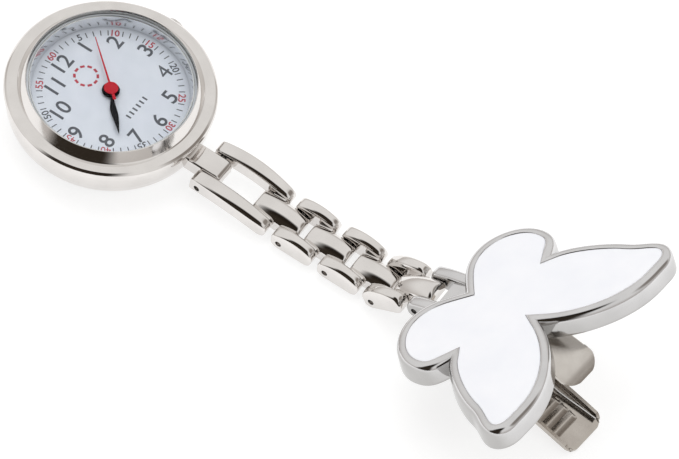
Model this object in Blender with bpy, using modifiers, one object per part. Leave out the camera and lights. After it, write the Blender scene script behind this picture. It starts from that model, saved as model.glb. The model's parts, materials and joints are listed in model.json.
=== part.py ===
"""Fob watch: quartz watch head, link chain and an enamelled butterfly brooch on a spring clip.

Row frame: +X from the watch to the brooch, +Y towards 3 o'clock, +Z up off the dial.
The origin is the centre of the case back's outer face. Twelve o'clock points to -X.
Lengths below are in millimetres and are scaled by MM as each shape is made.
"""
import math

import bmesh
import bpy
from mathutils import Matrix, Vector

MM = 0.001

# ------------------------------------------------------------- driving dimensions
CASE_R = 13.88          # case body, outside
BORE_R = 11.97          # case body, inside
BEZEL_R = 14.25         # bezel, outside
LENS_R = 11.30          # crystal
LENS_TOP = 8.0
DIAL_TOP = 5.27
DIAL_T = 0.27
MOVEMENT_R = 9.6
SEG = 48                # sides of the large turned pieces
SMALL = 16              # sides of the train wheels

STEM_Z = 3.4            # height of the crown's axis
CROWN_R = 1.5
CROWN_Y = (14.15, 15.35)
CROWN_TEETH = 24

PIN_R = 0.40            # link pins
PIN_HOLE_R = 0.47
PIN_HALF = 3.70
LINK_HALF = 1.25        # half the links' thickness
LINK_OUT = 3.83         # half the chain's width
SIDE_IN = 1.95          # inner face of the side lobes
MID_OUT = 1.85          # half the width of a centre lobe
LONG_PITCH = 13.14      # pin to pin on the long link
PITCH = 7.35            # pin to pin on a short link
LOBE = 6.4              # length of a lobe
LONG_LOBE = 7.3         # and of the long link's own centre lobe
LOBE_END = 1.3          # from a pin to the round end beside it
GAP = 0.95              # between two lobes end to end
SIDE_ARCH = 0.85        # rise of a side lobe's top over its ends
MID_ARCH = 0.45
LONG_ARCH = 0.9         # the long link's bars are curved, top and bottom alike
LONG_BOW = 0.38         # and stand this much wider at mid-length

H0 = (16.88, 2.44)      # first link pin, x and z
FLOOR_PIN_Z = LINK_HALF # links that lie flat
RISE = math.radians(31.5)     # third short link climbs to the brooch
BROOCH_PITCH = math.radians(24.1)
BROOCH_YAW = math.radians(-4.5)

# brooch, heights above the last link pin along the plate's normal
RIM_TOP = 2.95
ENAMEL_TOP = 2.83
POCKET_FLOOR = 2.05
SHELL_FLOOR = 1.10
RIM_BOTTOM = -0.37
RIM_W = 0.95            # from the drawn outline in to the enamel
RIM_OUT = 0.42          # from the drawn outline out to the side wall

# clip, in its own upright plane: s along the brooch from the last link pin, z up
CLIP_PIN = (14.6, 7.2)
CLIP_PIN_R = 0.40
PLATE_T = 0.5
LEVER_T = 0.6
LEVER_HALF = 3.25
UPPER_HALF = 3.0
WALL_T = 0.5
WIRE_R = 0.22
COIL_R = 0.95
COIL_TURNS = 3

# Half of the butterfly's outline as cubic curves, from the notch nearest the chain,
# round the small wing, its notch and the long wing, to the far notch.
WING = (
    ((7.0, 0.0), (5.1, 2.2), (3.2, 4.0), (3.2, 7.3)),
    ((3.2, 7.3), (3.2, 10.5), (5.7, 13.8), (8.8, 13.8)),
    ((8.8, 13.8), (11.4, 13.8), (11.6, 12.2), (12.6, 10.3)),
    ((12.6, 10.3), (13.4, 12.4), (17.5, 15.4), (20.6, 16.5)),
    ((20.6, 16.5), (22.6, 17.2), (23.4, 18.4), (25.0, 18.6)),
    ((25.0, 18.6), (26.2, 18.7), (27.3, 17.6), (27.3, 15.7)),
    ((27.3, 15.7), (27.3, 13.6), (27.5, 11.8), (26.4, 8.9)),
    ((26.4, 8.9), (25.2, 5.7), (22.4, 2.0), (18.5, 0.0)),
)

# going train, x and y of each arbor
INTERMEDIATE = (0.36, 2.07)
THIRD = (2.208, -1.275)
ROTOR = (2.11, 3.12)
MINUTE_WHEEL = (1.2, -2.078)
BATTERY = (-5.95, 0.0)

# ------------------------------------------------------------- scene and materials
for old in list(bpy.data.objects):
    bpy.data.objects.remove(old, do_unlink=True)

model = bpy.data.collections.new("fob_watch")
bpy.context.scene.collection.children.link(model)
guides = bpy.data.collections.new("cutters")
bpy.context.scene.collection.children.link(guides)

NICKEL = ((0.66, 0.64, 0.62), 0.16, 1.0)
STEEL = ((0.58, 0.57, 0.56), 0.28, 1.0)
BRASS = ((0.72, 0.56, 0.28), 0.30, 1.0)
RUBBER = ((0.03, 0.03, 0.03), 0.70, 0.0)
BLACK = ((0.02, 0.02, 0.02), 0.45, 0.0)


def material(name, look):
    rgb, rough, metal = look
    mat = bpy.data.materials.new(name)
    mat.use_nodes = True
    shader = mat.node_tree.nodes["Principled BSDF"]
    shader.inputs["Base Color"].default_value = (*rgb, 1.0)
    shader.inputs["Roughness"].default_value = rough
    shader.inputs["Metallic"].default_value = metal
    return mat


# ------------------------------------------------------------- shape helpers
def add(name, mesh, collection=model):
    obj = bpy.data.objects.new(name, mesh)
    collection.objects.link(obj)
    return obj


def tidy(mesh, weld=2e-6):
    bm = bmesh.new()
    bm.from_mesh(mesh)
    bmesh.ops.remove_doubles(bm, verts=bm.verts, dist=weld)
    bmesh.ops.recalc_face_normals(bm, faces=bm.faces)
    bm.to_mesh(mesh)
    bm.free()


def realise(obj, matrix=None):
    """The evaluated shape as a plain welded mesh object of the same name, in world space."""
    bpy.context.view_layer.update()
    graph = bpy.context.evaluated_depsgraph_get()
    mesh = bpy.data.meshes.new_from_object(obj.evaluated_get(graph))
    mesh.transform(obj.matrix_world)
    if matrix is not None:
        mesh.transform(matrix)
    tidy(mesh)
    name = obj.name
    bpy.data.objects.remove(obj, do_unlink=True)
    mesh.name = name
    return add(name, mesh)


def shift(x, y, z):
    return Matrix.Translation(Vector((x, y, z)) * MM)


def turned(name, profile, seg=SEG, matrix=None):
    """A profile of (radius, height) turned about Z. It runs down its outer side."""
    closed = profile[0][0] > 1e-9
    mesh = bpy.data.meshes.new(name)
    points = [(r * MM, 0.0, z * MM) for r, z in profile]
    edges = [(i, i + 1) for i in range(len(points) - 1)]
    if closed:
        edges.append((len(points) - 1, 0))
    mesh.from_pydata(points, edges, [])
    obj = add(name, mesh)
    screw = obj.modifiers.new("turn", "SCREW")
    screw.steps = seg
    screw.render_steps = seg
    screw.use_merge_vertices = True
    screw.merge_threshold = 1e-6
    screw.use_smooth_shade = False
    return realise(obj, matrix)


def flat(name, outline, thickness, matrix=None, holes=(), bevel=0.0):
    """An outline in XY, as thick along Z as stated, centred on its plane."""
    curve = bpy.data.curves.new(name, "CURVE")
    curve.dimensions = "2D"
    curve.fill_mode = "BOTH"
    curve.extrude = thickness * MM / 2
    for loop in (outline, *holes):
        spline = curve.splines.new("POLY")
        spline.points.add(len(loop) - 1)
        for point, (x, y) in zip(spline.points, loop):
            point.co = (x * MM, y * MM, 0.0, 1.0)
        spline.use_cyclic_u = True
    obj = realise(add(name, curve), matrix)
    return rounded(obj, bevel) if bevel else obj


def rounded(obj, width, segments=1, angle=35.0):
    mod = obj.modifiers.new("edge", "BEVEL")
    mod.width = width * MM
    mod.segments = segments
    mod.limit_method = "ANGLE"
    mod.angle_limit = math.radians(angle)
    return realise(obj)


def rod(name, radius, start, end, sides=12):
    """A round bar between two points."""
    a, b = Vector(start) * MM, Vector(end) * MM
    axis = b - a
    mesh = bpy.data.meshes.new(name)
    bm = bmesh.new()
    bmesh.ops.create_cone(
        bm, cap_ends=True, segments=sides, radius1=radius * MM, radius2=radius * MM,
        depth=axis.length,
        matrix=Matrix.Translation((a + b) / 2) @ axis.to_track_quat("Z", "Y").to_matrix().to_4x4(),
    )
    bm.to_mesh(mesh)
    bm.free()
    return add(name, mesh)


def block(name, low, high, matrix=None):
    low, high = Vector(low) * MM, Vector(high) * MM
    mesh = bpy.data.meshes.new(name)
    bm = bmesh.new()
    bmesh.ops.create_cube(bm, size=1.0, matrix=Matrix.Translation((low + high) / 2)
                          @ Matrix.Diagonal((*(high - low), 1.0)))
    bm.to_mesh(mesh)
    bm.free()
    if matrix is not None:
        mesh.transform(matrix)
    return add(name, mesh)


def combine(obj, others, operation):
    for other in others:
        guides.objects.link(other)
        model.objects.unlink(other)
        other.hide_render = True
        other.display_type = "WIRE"
        mod = obj.modifiers.new("cut", "BOOLEAN")
        mod.operation = operation
        mod.solver = "EXACT"
        mod.object = other
    obj = realise(obj)
    for other in others:
        bpy.data.objects.remove(other, do_unlink=True)
    return obj


def join(obj, *others):
    return combine(obj, others, "UNION")


def cut(obj, *others):
    return combine(obj, others, "DIFFERENCE")


def bezier(p0, p1, p2, p3, steps):
    """Points along one cubic curve, without its last point."""
    out = []
    for i in range(steps):
        t = i / steps
        weights = ((1 - t) ** 3, 3 * (1 - t) ** 2 * t, 3 * (1 - t) * t * t, t ** 3)
        out.append(tuple(sum(w * p[k] for w, p in zip(weights, (p0, p1, p2, p3))) for k in (0, 1)))
    return out


def smooth_line(points, steps):
    """A Catmull-Rom curve through the points."""
    out = []
    ends = [points[0], *points, points[-1]]
    for i in range(1, len(ends) - 2):
        p0, p1, p2, p3 = ends[i - 1:i + 3]
        for k in range(steps):
            t = k / steps
            out.append(tuple(
                0.5 * (2 * b + (c - a) * t + (2 * a - 5 * b + 4 * c - d) * t * t
                       + (3 * b - a - 3 * c + d) * t ** 3)
                for a, b, c, d in zip(p0, p1, p2, p3)))
    out.append(tuple(points[-1]))
    return out


def strip(line, thickness):
    """The closed outline of a bent sheet whose middle follows the line."""
    left, right = [], []
    for i, (x, y) in enumerate(line):
        ax, ay = line[max(i - 1, 0)]
        bx, by = line[min(i + 1, len(line) - 1)]
        length = math.hypot(bx - ax, by - ay)
        nx, ny = -(by - ay) / length * thickness / 2, (bx - ax) / length * thickness / 2
        left.append((x + nx, y + ny))
        right.append((x - nx, y - ny))
    return left + right[::-1]


def arc(cx, cy, radius, start, end, steps):
    return [(cx + radius * math.cos(math.radians(start + (end - start) * i / steps)),
             cy + radius * math.sin(math.radians(start + (end - start) * i / steps)))
            for i in range(steps + 1)]


def inset(outline, distance, longest=1.9):
    """The outline moved inwards, with sharp corners kept and long spikes shortened."""
    area = sum(a[0] * b[1] - b[0] * a[1] for a, b in zip(outline, outline[1:] + outline[:1]))
    side = 1.0 if area > 0 else -1.0
    out = []
    for i, (x, y) in enumerate(outline):
        px, py = outline[i - 1]
        qx, qy = outline[(i + 1) % len(outline)]
        l1, l2 = math.hypot(x - px, y - py), math.hypot(qx - x, qy - y)
        n1 = (-(y - py) / l1 * side, (x - px) / l1 * side)
        n2 = (-(qy - y) / l2 * side, (qx - x) / l2 * side)
        mx, my = n1[0] + n2[0], n1[1] + n2[1]
        size = math.hypot(mx, my)
        reach = min(size / (1 + n1[0] * n2[0] + n1[1] * n2[1] + 1e-9), longest) * distance
        out.append((x + mx / size * reach, y + my / size * reach))
    return out


def upright(x, z, pitch=0.0, y=0.0, yaw=0.0):
    """Local x along a link, local y up from it, local z towards -Y."""
    side = Matrix(((1, 0, 0, 0), (0, 0, -1, 0), (0, 1, 0, 0), (0, 0, 0, 1)))
    return (shift(x, y, z) @ Matrix.Rotation(yaw, 4, "Z")
            @ Matrix.Rotation(-pitch, 4, "Y") @ side)


# ------------------------------------------------------------- link pin positions
LONG_DROP = -math.asin((H0[1] - FLOOR_PIN_Z) / LONG_PITCH)
H1 = (H0[0] + LONG_PITCH * math.cos(LONG_DROP), FLOOR_PIN_Z)
H2 = (H1[0] + PITCH, FLOOR_PIN_Z)
H3 = (H2[0] + PITCH, FLOOR_PIN_Z)
H4 = (H3[0] + PITCH * math.cos(RISE), FLOOR_PIN_Z + PITCH * math.sin(RISE))

# ============================================================= watch head
case_body = turned("case_body", [
    (BORE_R, 5.45), (13.30, 5.45), (13.64, 5.28), (13.82, 4.7), (CASE_R, 3.9), (13.82, 3.0),
    (13.6, 2.1), (13.25, 1.35), (12.8, 0.85), (12.4, 0.64), (BORE_R, 0.64)])
LUG_END = 18.9
lug = flat("lug", [(12.4, 3.69), (12.4, 1.19)] + arc(LUG_END - 1.25, 2.44, 1.25, -90, 90, 6),
           3.4, upright(0, 0), bevel=0.25)
case_body = join(case_body, lug)
case_body = cut(
    case_body,
    rod("bore", PIN_HOLE_R, (H0[0], -3, H0[1]), (H0[0], 3, H0[1])),
    rod("bore", 0.72, (0, 11, STEM_Z), (0, 15, STEM_Z)))

case_back = turned("case_back", [
    (0, 0.6), (10.9, 0.6), (10.9, 1.2), (11.35, 1.2), (11.35, 0.6), (12.25, 0.6), (12.25, 0.25),
    (11.9, 0.0), (0, 0.0)])
back_gasket = turned("back_gasket", [(11.42, 1.1), (11.86, 1.1), (11.86, 0.68), (11.42, 0.68)], 40)

bezel = turned("bezel", [
    (11.34, 7.9), (11.56, 7.9), (12.28, 6.34), (12.4, 6.24), (12.65, 6.33), (13.1, 6.42),
    (13.6, 6.32), (14.04, 6.02), (BEZEL_R, 5.74), (14.15, 5.57), (13.8, 5.5), (BORE_R, 5.5),
    (BORE_R, 6.1), (11.0, 6.1), (11.0, 6.86), (11.34, 6.86)])
lens = turned("lens", [
    (0, LENS_TOP), (11.1, LENS_TOP), (LENS_R, 7.8), (LENS_R, 7.2), (0, 7.2)])
lens_gasket = turned("lens_gasket", [(11.02, 7.15), (11.30, 7.15), (11.30, 6.89), (11.02, 6.89)], 40)
inner_ring = turned("inner_ring", [
    (10.8, 7.12), (10.97, 7.12), (10.97, 6.05), (11.85, 6.05), (11.85, 5.32), (10.42, 5.32)], SEG)
dial = turned("dial", [
    (0.95, DIAL_TOP), (11.8, DIAL_TOP), (11.8, DIAL_TOP - DIAL_T), (0.95, DIAL_TOP - DIAL_T)], 40)

# ------------------------------------------------------------- movement
movement_ring = cut(
    turned("movement_ring", [(9.75, 4.95), (11.8, 4.95), (11.8, 1.35), (9.75, 1.35)], 40),
    rod("bore", 0.6, (0, 8, STEM_Z), (0, 13, STEM_Z)))
movement_plate = cut(
    turned("movement_plate", [(0, 4.2), (MOVEMENT_R, 4.2), (MOVEMENT_R, 3.35), (0, 3.35)], 40),
    rod("bore", 0.55, (0, 0, 3), (0, 0, 5), 16),
    rod("bore", 3.55, (*BATTERY, 3), (*BATTERY, 5), 24),
    block("slot", (-0.5, 4.4, 3.0), (0.5, 10.5, 3.9)))
train_bridge = flat("train_bridge", [(-2.2, -4.6), (5.0, -4.6), (5.0, 4.6), (-2.2, 4.6)], 0.45,
                    shift(0, 0, 1.675))
PILLARS = ((-1.6, -4.0), (4.4, -3.9), (-1.6, 4.1))
train_bridge = join(train_bridge, *[
    rod("pillar", 0.42, (x, y, 1.7), (x, y, 3.33), 10) for x, y in PILLARS])
screws = [turned(f"bridge_screw_{i + 1}", [(0, 1.43), (0.42, 1.43), (0.42, 1.18), (0, 1.18)], 12,
                 shift(x, y, 0)) for i, (x, y) in enumerate(PILLARS)]
battery = turned("battery", [
    (0, 3.95), (3.3, 3.95), (3.4, 3.85), (3.4, 1.75), (3.25, 1.6), (2.9, 1.6), (2.9, 1.36), (0, 1.36)],
    24, shift(*BATTERY, 0))
battery_clip = flat("battery_clip", [(-9.0, -0.8), (-2.4, -0.8), (-2.4, 0.8), (-9.0, 0.8)], 0.14,
                    shift(0, 0, 1.26))
coil = turned("coil", [
    (0, 2.1), (0.8, 2.1), (0.8, 1.8), (0.65, 1.8), (0.65, -3.6), (0.8, -3.6), (0.8, -3.9), (0, -3.9)],
    16, shift(6.4, 0, 2.45) @ Matrix.Rotation(-math.pi / 2, 4, "X"))
stator = cut(
    flat("stator", [(1.0, 2.3), (7.3, 2.3), (7.3, 4.1), (1.0, 4.1)], 0.3, shift(0, 0, 2.9)),
    rod("bore", 0.75, (*ROTOR, 2), (*ROTOR, 4), 16))
circuit_board = flat("circuit_board", [(5.4, -4.3), (8.2, -4.3), (8.2, 4.3), (5.4, 4.3)], 0.25,
                     shift(0, 0, 1.475))

# each wheel is turned as a smooth disc at its tooth tips
rotor = turned("rotor", [
    (0, 3.3), (0.1, 3.3), (0.1, 3.2), (0.6, 3.2), (0.6, 2.6), (0.26, 2.6), (0.26, 2.3), (0.1, 2.3),
    (0.1, 1.95), (0, 1.95)], SMALL, shift(*ROTOR, 0))
intermediate_wheel = turned("intermediate_wheel", [
    (0, 2.85), (0.12, 2.85), (0.12, 2.45), (1.75, 2.45), (1.75, 2.33), (0.33, 2.33), (0.33, 2.07),
    (0.12, 2.07), (0.12, 1.95), (0, 1.95)], SMALL, shift(*INTERMEDIATE, 0))
third_wheel = turned("third_wheel", [
    (0, 3.3), (0.12, 3.3), (0.12, 3.2), (0.26, 3.2), (0.26, 2.65), (2.23, 2.65), (2.23, 2.5),
    (0.12, 2.5), (0.12, 1.95), (0, 1.95)], SMALL, shift(*THIRD, 0))
second_wheel = turned("second_wheel", [
    (0, 6.01), (0.14, 6.01), (0.14, 2.85), (0.28, 2.85), (0.28, 2.25), (1.73, 2.25), (1.73, 2.1),
    (0.14, 2.1), (0.14, 1.95), (0, 1.95)], SMALL)
centre_wheel = turned("centre_wheel", [
    (0.2, 5.76), (0.45, 5.76), (0.45, 4.56), (0.57, 4.56), (0.57, 4.28), (0.45, 4.28), (0.45, 3.1),
    (2.25, 3.1), (2.25, 2.95), (0.2, 2.95)], SMALL)
minute_wheel = turned("minute_wheel", [
    (0, 4.88), (0.2, 4.88), (0.2, 4.85), (0.46, 4.85), (0.46, 4.5), (1.79, 4.5), (1.79, 4.3), (0.2, 4.3),
    (0.2, 4.25), (0, 4.25)], SMALL, shift(*MINUTE_WHEEL, 0))
hour_wheel = turned("hour_wheel", [
    (0.53, 5.53), (0.78, 5.53), (0.78, 4.82), (1.90, 4.82), (1.90, 4.62), (0.53, 4.62)], SMALL)


def hand(name, outline, clock_degrees, z, thickness, hub, hole):
    turn = Matrix.Rotation(math.pi - math.radians(clock_degrees), 4, "Z")
    body = flat(name, outline, thickness, shift(0, 0, z) @ turn)
    boss = rod("hub", hub, (0, 0, z - thickness / 2 - 0.02), (0, 0, z + thickness / 2 + 0.02), 20)
    body = join(body, boss)
    if hole:
        body = cut(body, rod("bore", hole, (0, 0, z - 1), (0, 0, z + 1), 16))
    return body


HOUR_ANGLE = 228.9
MINUTE_ANGLE = 226.2
SECOND_ANGLE = 40.0
hour_hand = hand("hour_hand", [(0, -0.3), (3.0, -0.42), (5.0, -0.12), (5.1, 0), (5.0, 0.12),
                               (3.0, 0.42), (0, 0.3)], HOUR_ANGLE, 5.62, 0.13, 1.2, 0.53)
minute_hand = hand("minute_hand", [(0, -0.26), (4.2, -0.36), (7.0, -0.1), (7.1, 0), (7.0, 0.1),
                                   (4.2, 0.36), (0, 0.26)], MINUTE_ANGLE, 5.845, 0.13, 1.08, 0.2)
second_hand = hand("second_hand", [(-1.9, -0.24), (0, -0.16), (8.4, -0.07), (8.4, 0.07), (0, 0.16), (-1.9, 0.24)],
                   SECOND_ANGLE, 6.09, 0.12, 0.98, 0.0)

# ------------------------------------------------------------- crown
ALONG_Y = Matrix.Rotation(-math.pi / 2, 4, "X")     # turned axis to +Y
stem = turned("stem", [
    (0, 14.85), (0.35, 14.85), (0.35, 7.7), (0.22, 7.7), (0.22, 7.2), (0.35, 7.2), (0.35, 4.6), (0, 4.6)],
    12, shift(0, 0, STEM_Z) @ ALONG_Y)
knurl = []
for i in range(CROWN_TEETH * 4):
    angle = 2 * math.pi * i / (CROWN_TEETH * 4)
    radius = CROWN_R if i % 4 in (1, 2) else CROWN_R - 0.14
    knurl.append((radius * math.cos(angle), radius * math.sin(angle)))
crown = flat("crown", knurl, CROWN_Y[1] - CROWN_Y[0],
             shift(0, sum(CROWN_Y) / 2, STEM_Z) @ ALONG_Y)
crown = cut(crown, rod("bore", 0.38, (0, 13, STEM_Z), (0, 14.9, STEM_Z)))
crown_gasket = turned("crown_gasket", [(0.38, 12.7), (0.67, 12.7), (0.67, 12.3), (0.38, 12.3)], 16,
                      shift(0, 0, STEM_Z) @ ALONG_Y)
setting_lever = block("setting_lever", (-1.5, 7.28, 2.3), (1.5, 7.62, 3.14))


# ============================================================= chain
def corner(reach, radius):
    """How far a rounded corner falls away, this far in from the end."""
    d = max(0.0, radius - reach)
    return radius - math.sqrt(radius ** 2 - d ** 2)


def lobe(name, x0, x1, inner, outer, frame, arch=0.0, under=0.0, bow=0.0, heel=1.25):
    """One cushion-shaped lobe: a bar cut into stations along its length, where each station takes
    the arched top and bottom, the round corners and the bowed outer side at that place."""
    share = (0.0, 0.04, 0.12, 0.25, 0.4, 0.55, 0.7, 0.83, 0.93, 1.0)
    mesh = bpy.data.meshes.new(name)
    bm = bmesh.new()
    bmesh.ops.create_cube(bm, size=1.0)
    for t in share[1:-1]:
        bmesh.ops.bisect_plane(bm, geom=bm.verts[:] + bm.edges[:] + bm.faces[:],
                               plane_co=(t - 0.5, 0, 0), plane_no=(1, 0, 0))
    out = 1 if inner >= 0 or abs(outer) > abs(inner) else -1
    for v in bm.verts:
        t = v.co.x + 0.5
        x = x0 + (x1 - x0) * t
        rise = 1 - (2 * t - 1) ** 2
        top = LINK_HALF + arch * rise - corner(x - x0, 0.4) - corner(x1 - x, 0.85)
        bottom = -LINK_HALF + under * rise + corner(x - x0, heel) + corner(x1 - x, 1.25)
        y = inner + (outer - inner) * (v.co.z + 0.5)
        if bow and (v.co.z > 0) == (out > 0):
            y += out * bow * rise
        v.co = Vector((x, top if v.co.y > 0 else bottom, -y)) * MM
    bmesh.ops.recalc_face_normals(bm, faces=bm.faces)
    bm.to_mesh(mesh)
    bm.free()
    mesh.transform(frame)
    return rounded(add(name, mesh), 0.22, angle=50.0)


def bored(obj, frame, x):
    start, end = frame @ Vector((x * MM, 0, 5 * MM)), frame @ Vector((x * MM, 0, -5 * MM))
    return cut(obj, rod("bore", PIN_HOLE_R, start / MM, end / MM))


def short_link(name, pin, pitch):
    frame = upright(pin[0], pin[1], pitch)
    side = -LOBE_END + LOBE
    obj = lobe(name, -LOBE_END, side, SIDE_IN, LINK_OUT, frame, SIDE_ARCH)
    other = lobe("other", -LOBE_END, side, -LINK_OUT, -SIDE_IN, frame, SIDE_ARCH)
    mid = lobe("mid", PITCH + 1.45 - LOBE, PITCH + 1.45, -MID_OUT, MID_OUT, frame, MID_ARCH)
    web = block("web", (2.7, -0.85, -2.6), (4.8, 0.85, 2.6), frame)
    obj = join(obj, web, other, mid)
    obj = bored(obj, frame, 0.0)
    return bored(obj, frame, PITCH)


def long_link_piece():
    frame = upright(H0[0], H0[1], LONG_DROP)
    bar_end = LONG_PITCH - LOBE_END - GAP
    obj = lobe("long_link", -LOBE_END, bar_end, SIDE_IN, LINK_OUT, frame, LONG_ARCH, LONG_ARCH, LONG_BOW, 0.4)
    other = lobe("other", -LOBE_END, bar_end, -LINK_OUT, -SIDE_IN, frame, LONG_ARCH, LONG_ARCH, LONG_BOW, 0.4)
    mid = lobe("mid", LONG_PITCH + 1.45 - LONG_LOBE, LONG_PITCH + 1.45, -MID_OUT, MID_OUT, frame, MID_ARCH)
    web = block("web", (8.5, -0.60, -2.6), (10.3, 0.85, 2.6), frame)
    obj = join(obj, web, other, mid)
    obj = bored(obj, frame, 0.0)
    return bored(obj, frame, LONG_PITCH)


long_link = long_link_piece()
link_1 = short_link("link_1", H1, 0.0)
link_2 = short_link("link_2", H2, 0.0)
link_3 = short_link("link_3", H3, RISE)
pins = [rod(f"link_pin_{i}", PIN_R, (x, -PIN_HALF, z), (x, PIN_HALF, z))
        for i, (x, z) in enumerate((H0, H1, H2, H3, H4))]

# ============================================================= brooch
half = []
for segment in WING:
    half += bezier(*segment, 5)
half.append(WING[-1][-1])
outline = half[:-1] + [half[-1]] + [(x, -y) for x, y in half[-2:0:-1]]

# plate frame: local x along the brooch, y across it, z out of the enamel
plate_frame = (shift(H4[0], 0, H4[1]) @ Matrix.Rotation(BROOCH_YAW, 4, "Z")
               @ Matrix.Rotation(-BROOCH_PITCH, 4, "Y"))


def tray(name, loop, low, high):
    return flat(name, loop, high - low, plate_frame @ shift(0, 0, (low + high) / 2))


rim = inset(outline, -RIM_OUT)
butterfly_frame = cut(
    rounded(tray("butterfly_frame", rim, RIM_BOTTOM, RIM_TOP), 0.35),
    tray("pocket", inset(outline, RIM_W), POCKET_FLOOR, RIM_TOP + 1),
    tray("hollow", inset(outline, RIM_W + 0.1), RIM_BOTTOM - 1, SHELL_FLOOR))
lug_frame = upright(H4[0], H4[1], BROOCH_PITCH)
lugs = [lobe("lug", -LOBE_END, 5.9, lo, hi, lug_frame)
        for lo, hi in ((SIDE_IN, LINK_OUT), (-LINK_OUT, -SIDE_IN))]
web = block("web", (2.7, -0.3, -2.6), (8.6, 0.85, 2.6), lug_frame)
RIVETS = ((9.6, 0.0), (12.4, 0.0))
bosses = []
for x, y in RIVETS:
    a, b = plate_frame @ Vector((x * MM, y * MM, -0.40 * MM)), plate_frame @ Vector((x * MM, y * MM, 1.5 * MM))
    bosses.append(rod("boss", 1.2, a / MM, b / MM, 16))
butterfly_frame = join(butterfly_frame, lugs[0], lugs[1], web, *bosses)
butterfly_frame = bored(butterfly_frame, lug_frame, 0.0)
sockets = []
for x, y in RIVETS:
    a, b = plate_frame @ Vector((x * MM, y * MM, -1.0 * MM)), plate_frame @ Vector((x * MM, y * MM, 0.5 * MM))
    sockets.append(rod("socket", 0.6, a / MM, b / MM, 12))
butterfly_frame = cut(butterfly_frame, *sockets)
enamel_inlay = tray("enamel_inlay", inset(outline, RIM_W + 0.04), POCKET_FLOOR + 0.04, ENAMEL_TOP)

# ------------------------------------------------------------- clip
clip_frame = upright(H4[0], 0, 0, 0, BROOCH_YAW)    # local x is s, local y is height


def cheek(name, loop, inner, outer):
    return flat(name, loop, outer - inner, clip_frame @ shift(0, 0, -(inner + outer) / 2))


px, pz = CLIP_PIN
upper_line = [(6.35, 5.98), (6.25, 6.6), (6.7, 7.25), (8.0, 7.95), (15.9, 11.46), (17.3, 11.8),
              (21.6, 11.8), (23.0, 11.45), (23.9, 11.1)]
upper_ear = ([(11.9, 9.6), (13.3, 7.4)] + arc(px, pz, 1.2, 190, 330, 5)
             + [(21.6, 8.9), (22.5, 10.0), (22.9, 11.4), (21.6, 11.8), (17.3, 11.8), (15.9, 11.46)])
clip_upper_jaw = flat("clip_upper_jaw", strip(upper_line, PLATE_T), UPPER_HALF * 2, clip_frame)
clip_upper_jaw = join(clip_upper_jaw, cheek("ear", upper_ear, 2.2, 2.7),
                      cheek("ear", upper_ear, -2.7, -2.2))

lower_line = smooth_line([(6.35, 5.65), (6.45, 4.6), (7.0, 2.9), (8.2, 1.2), (9.6, 0.45),
                          (11.0, 0.3), (13.0, 0.65), (15.5, 1.35), (18.0, 1.8), (20.0, 1.75),
                          (22.0, 1.42), (27.4, 0.3)], 2)
lower_wall = ([(12.0, 0.5), (12.6, 3.0), (13.4, 6.4)] + arc(px, pz, 1.15, 190, -20, 7)
              + [(16.0, 5.2), (17.4, 3.5), (19.0, 2.75), (22.0, 2.4), (26.0, 1.5), (27.0, 0.75),
                 (27.0, 0.4), (22.0, 1.4), (20.0, 1.7), (18.0, 1.75), (15.5, 1.3), (13.0, 0.6)])
clip_lower_jaw = flat("clip_lower_jaw", strip(lower_line, LEVER_T), LEVER_HALF * 2 - 0.3, clip_frame)
clip_lower_jaw = join(clip_lower_jaw, cheek("wall", lower_wall, LEVER_HALF - WALL_T, LEVER_HALF),
                      cheek("wall", lower_wall, -LEVER_HALF, -LEVER_HALF + WALL_T))


def clip_point(s, z, y):
    """A point of the clip in millimetres, y towards +Y."""
    return (clip_frame @ Vector((s * MM, z * MM, -y * MM))) / MM


clip_pin = rod("clip_pin", CLIP_PIN_R, clip_point(px, pz, -3.6), clip_point(px, pz, 3.6))
clip_upper_jaw = cut(
    clip_upper_jaw, rod("bore", PIN_HOLE_R, clip_point(px, pz, -5), clip_point(px, pz, 5)),
    *[rod("bore", 0.62, (plate_frame @ Vector((x * MM, y * MM, -2 * MM))) / MM,
          (plate_frame @ Vector((x * MM, y * MM, 0.2 * MM))) / MM) for x, y in RIVETS])
clip_lower_jaw = cut(
    clip_lower_jaw, rod("bore", PIN_HOLE_R, clip_point(px, pz, -5), clip_point(px, pz, 5)))
rivets = [turned(f"clip_rivet_{i + 1}", [(0, 0.4), (0.54, 0.4), (0.54, -1.0), (0.95, -1.0),
                                         (0.9, -1.25), (0, -1.4)], 12, plate_frame @ shift(x, y, 0))
          for i, (x, y) in enumerate(RIVETS)]

# torsion spring: upper leg, coil round the pin, lower leg lying along the lever
path = []
START, END, COIL_Y = 126.0, 236.0 + 360.0 * COIL_TURNS, (-1.45, 1.5)
turns = int((END - START) / 30)
for s, z in ((20.0, 11.15), (18.0, 9.75)):
    path.append(clip_point(s, z, COIL_Y[0]))
for i in range(turns + 1):
    f = i / turns
    angle = math.radians(START + (END - START) * f)
    path.append(clip_point(px + COIL_R * math.cos(angle), pz + COIL_R * math.sin(angle),
                           COIL_Y[0] + (COIL_Y[1] - COIL_Y[0]) * f))
for s, z in ((17.0, 4.35), (20.0, 2.75), (21.2, 2.32), (22.5, 2.02), (24.6, 1.56), (26.8, 1.12)):
    path.append(clip_point(s, z, COIL_Y[1]))
wire = bpy.data.curves.new("clip_spring", "CURVE")
wire.dimensions = "3D"
wire.bevel_depth = WIRE_R * MM
wire.bevel_resolution = 2
wire.use_fill_caps = True
spline = wire.splines.new("POLY")
spline.points.add(len(path) - 1)
for point, co in zip(spline.points, path):
    point.co = (*(co * MM), 1.0)
clip_spring = realise(add("clip_spring", wire))

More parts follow.
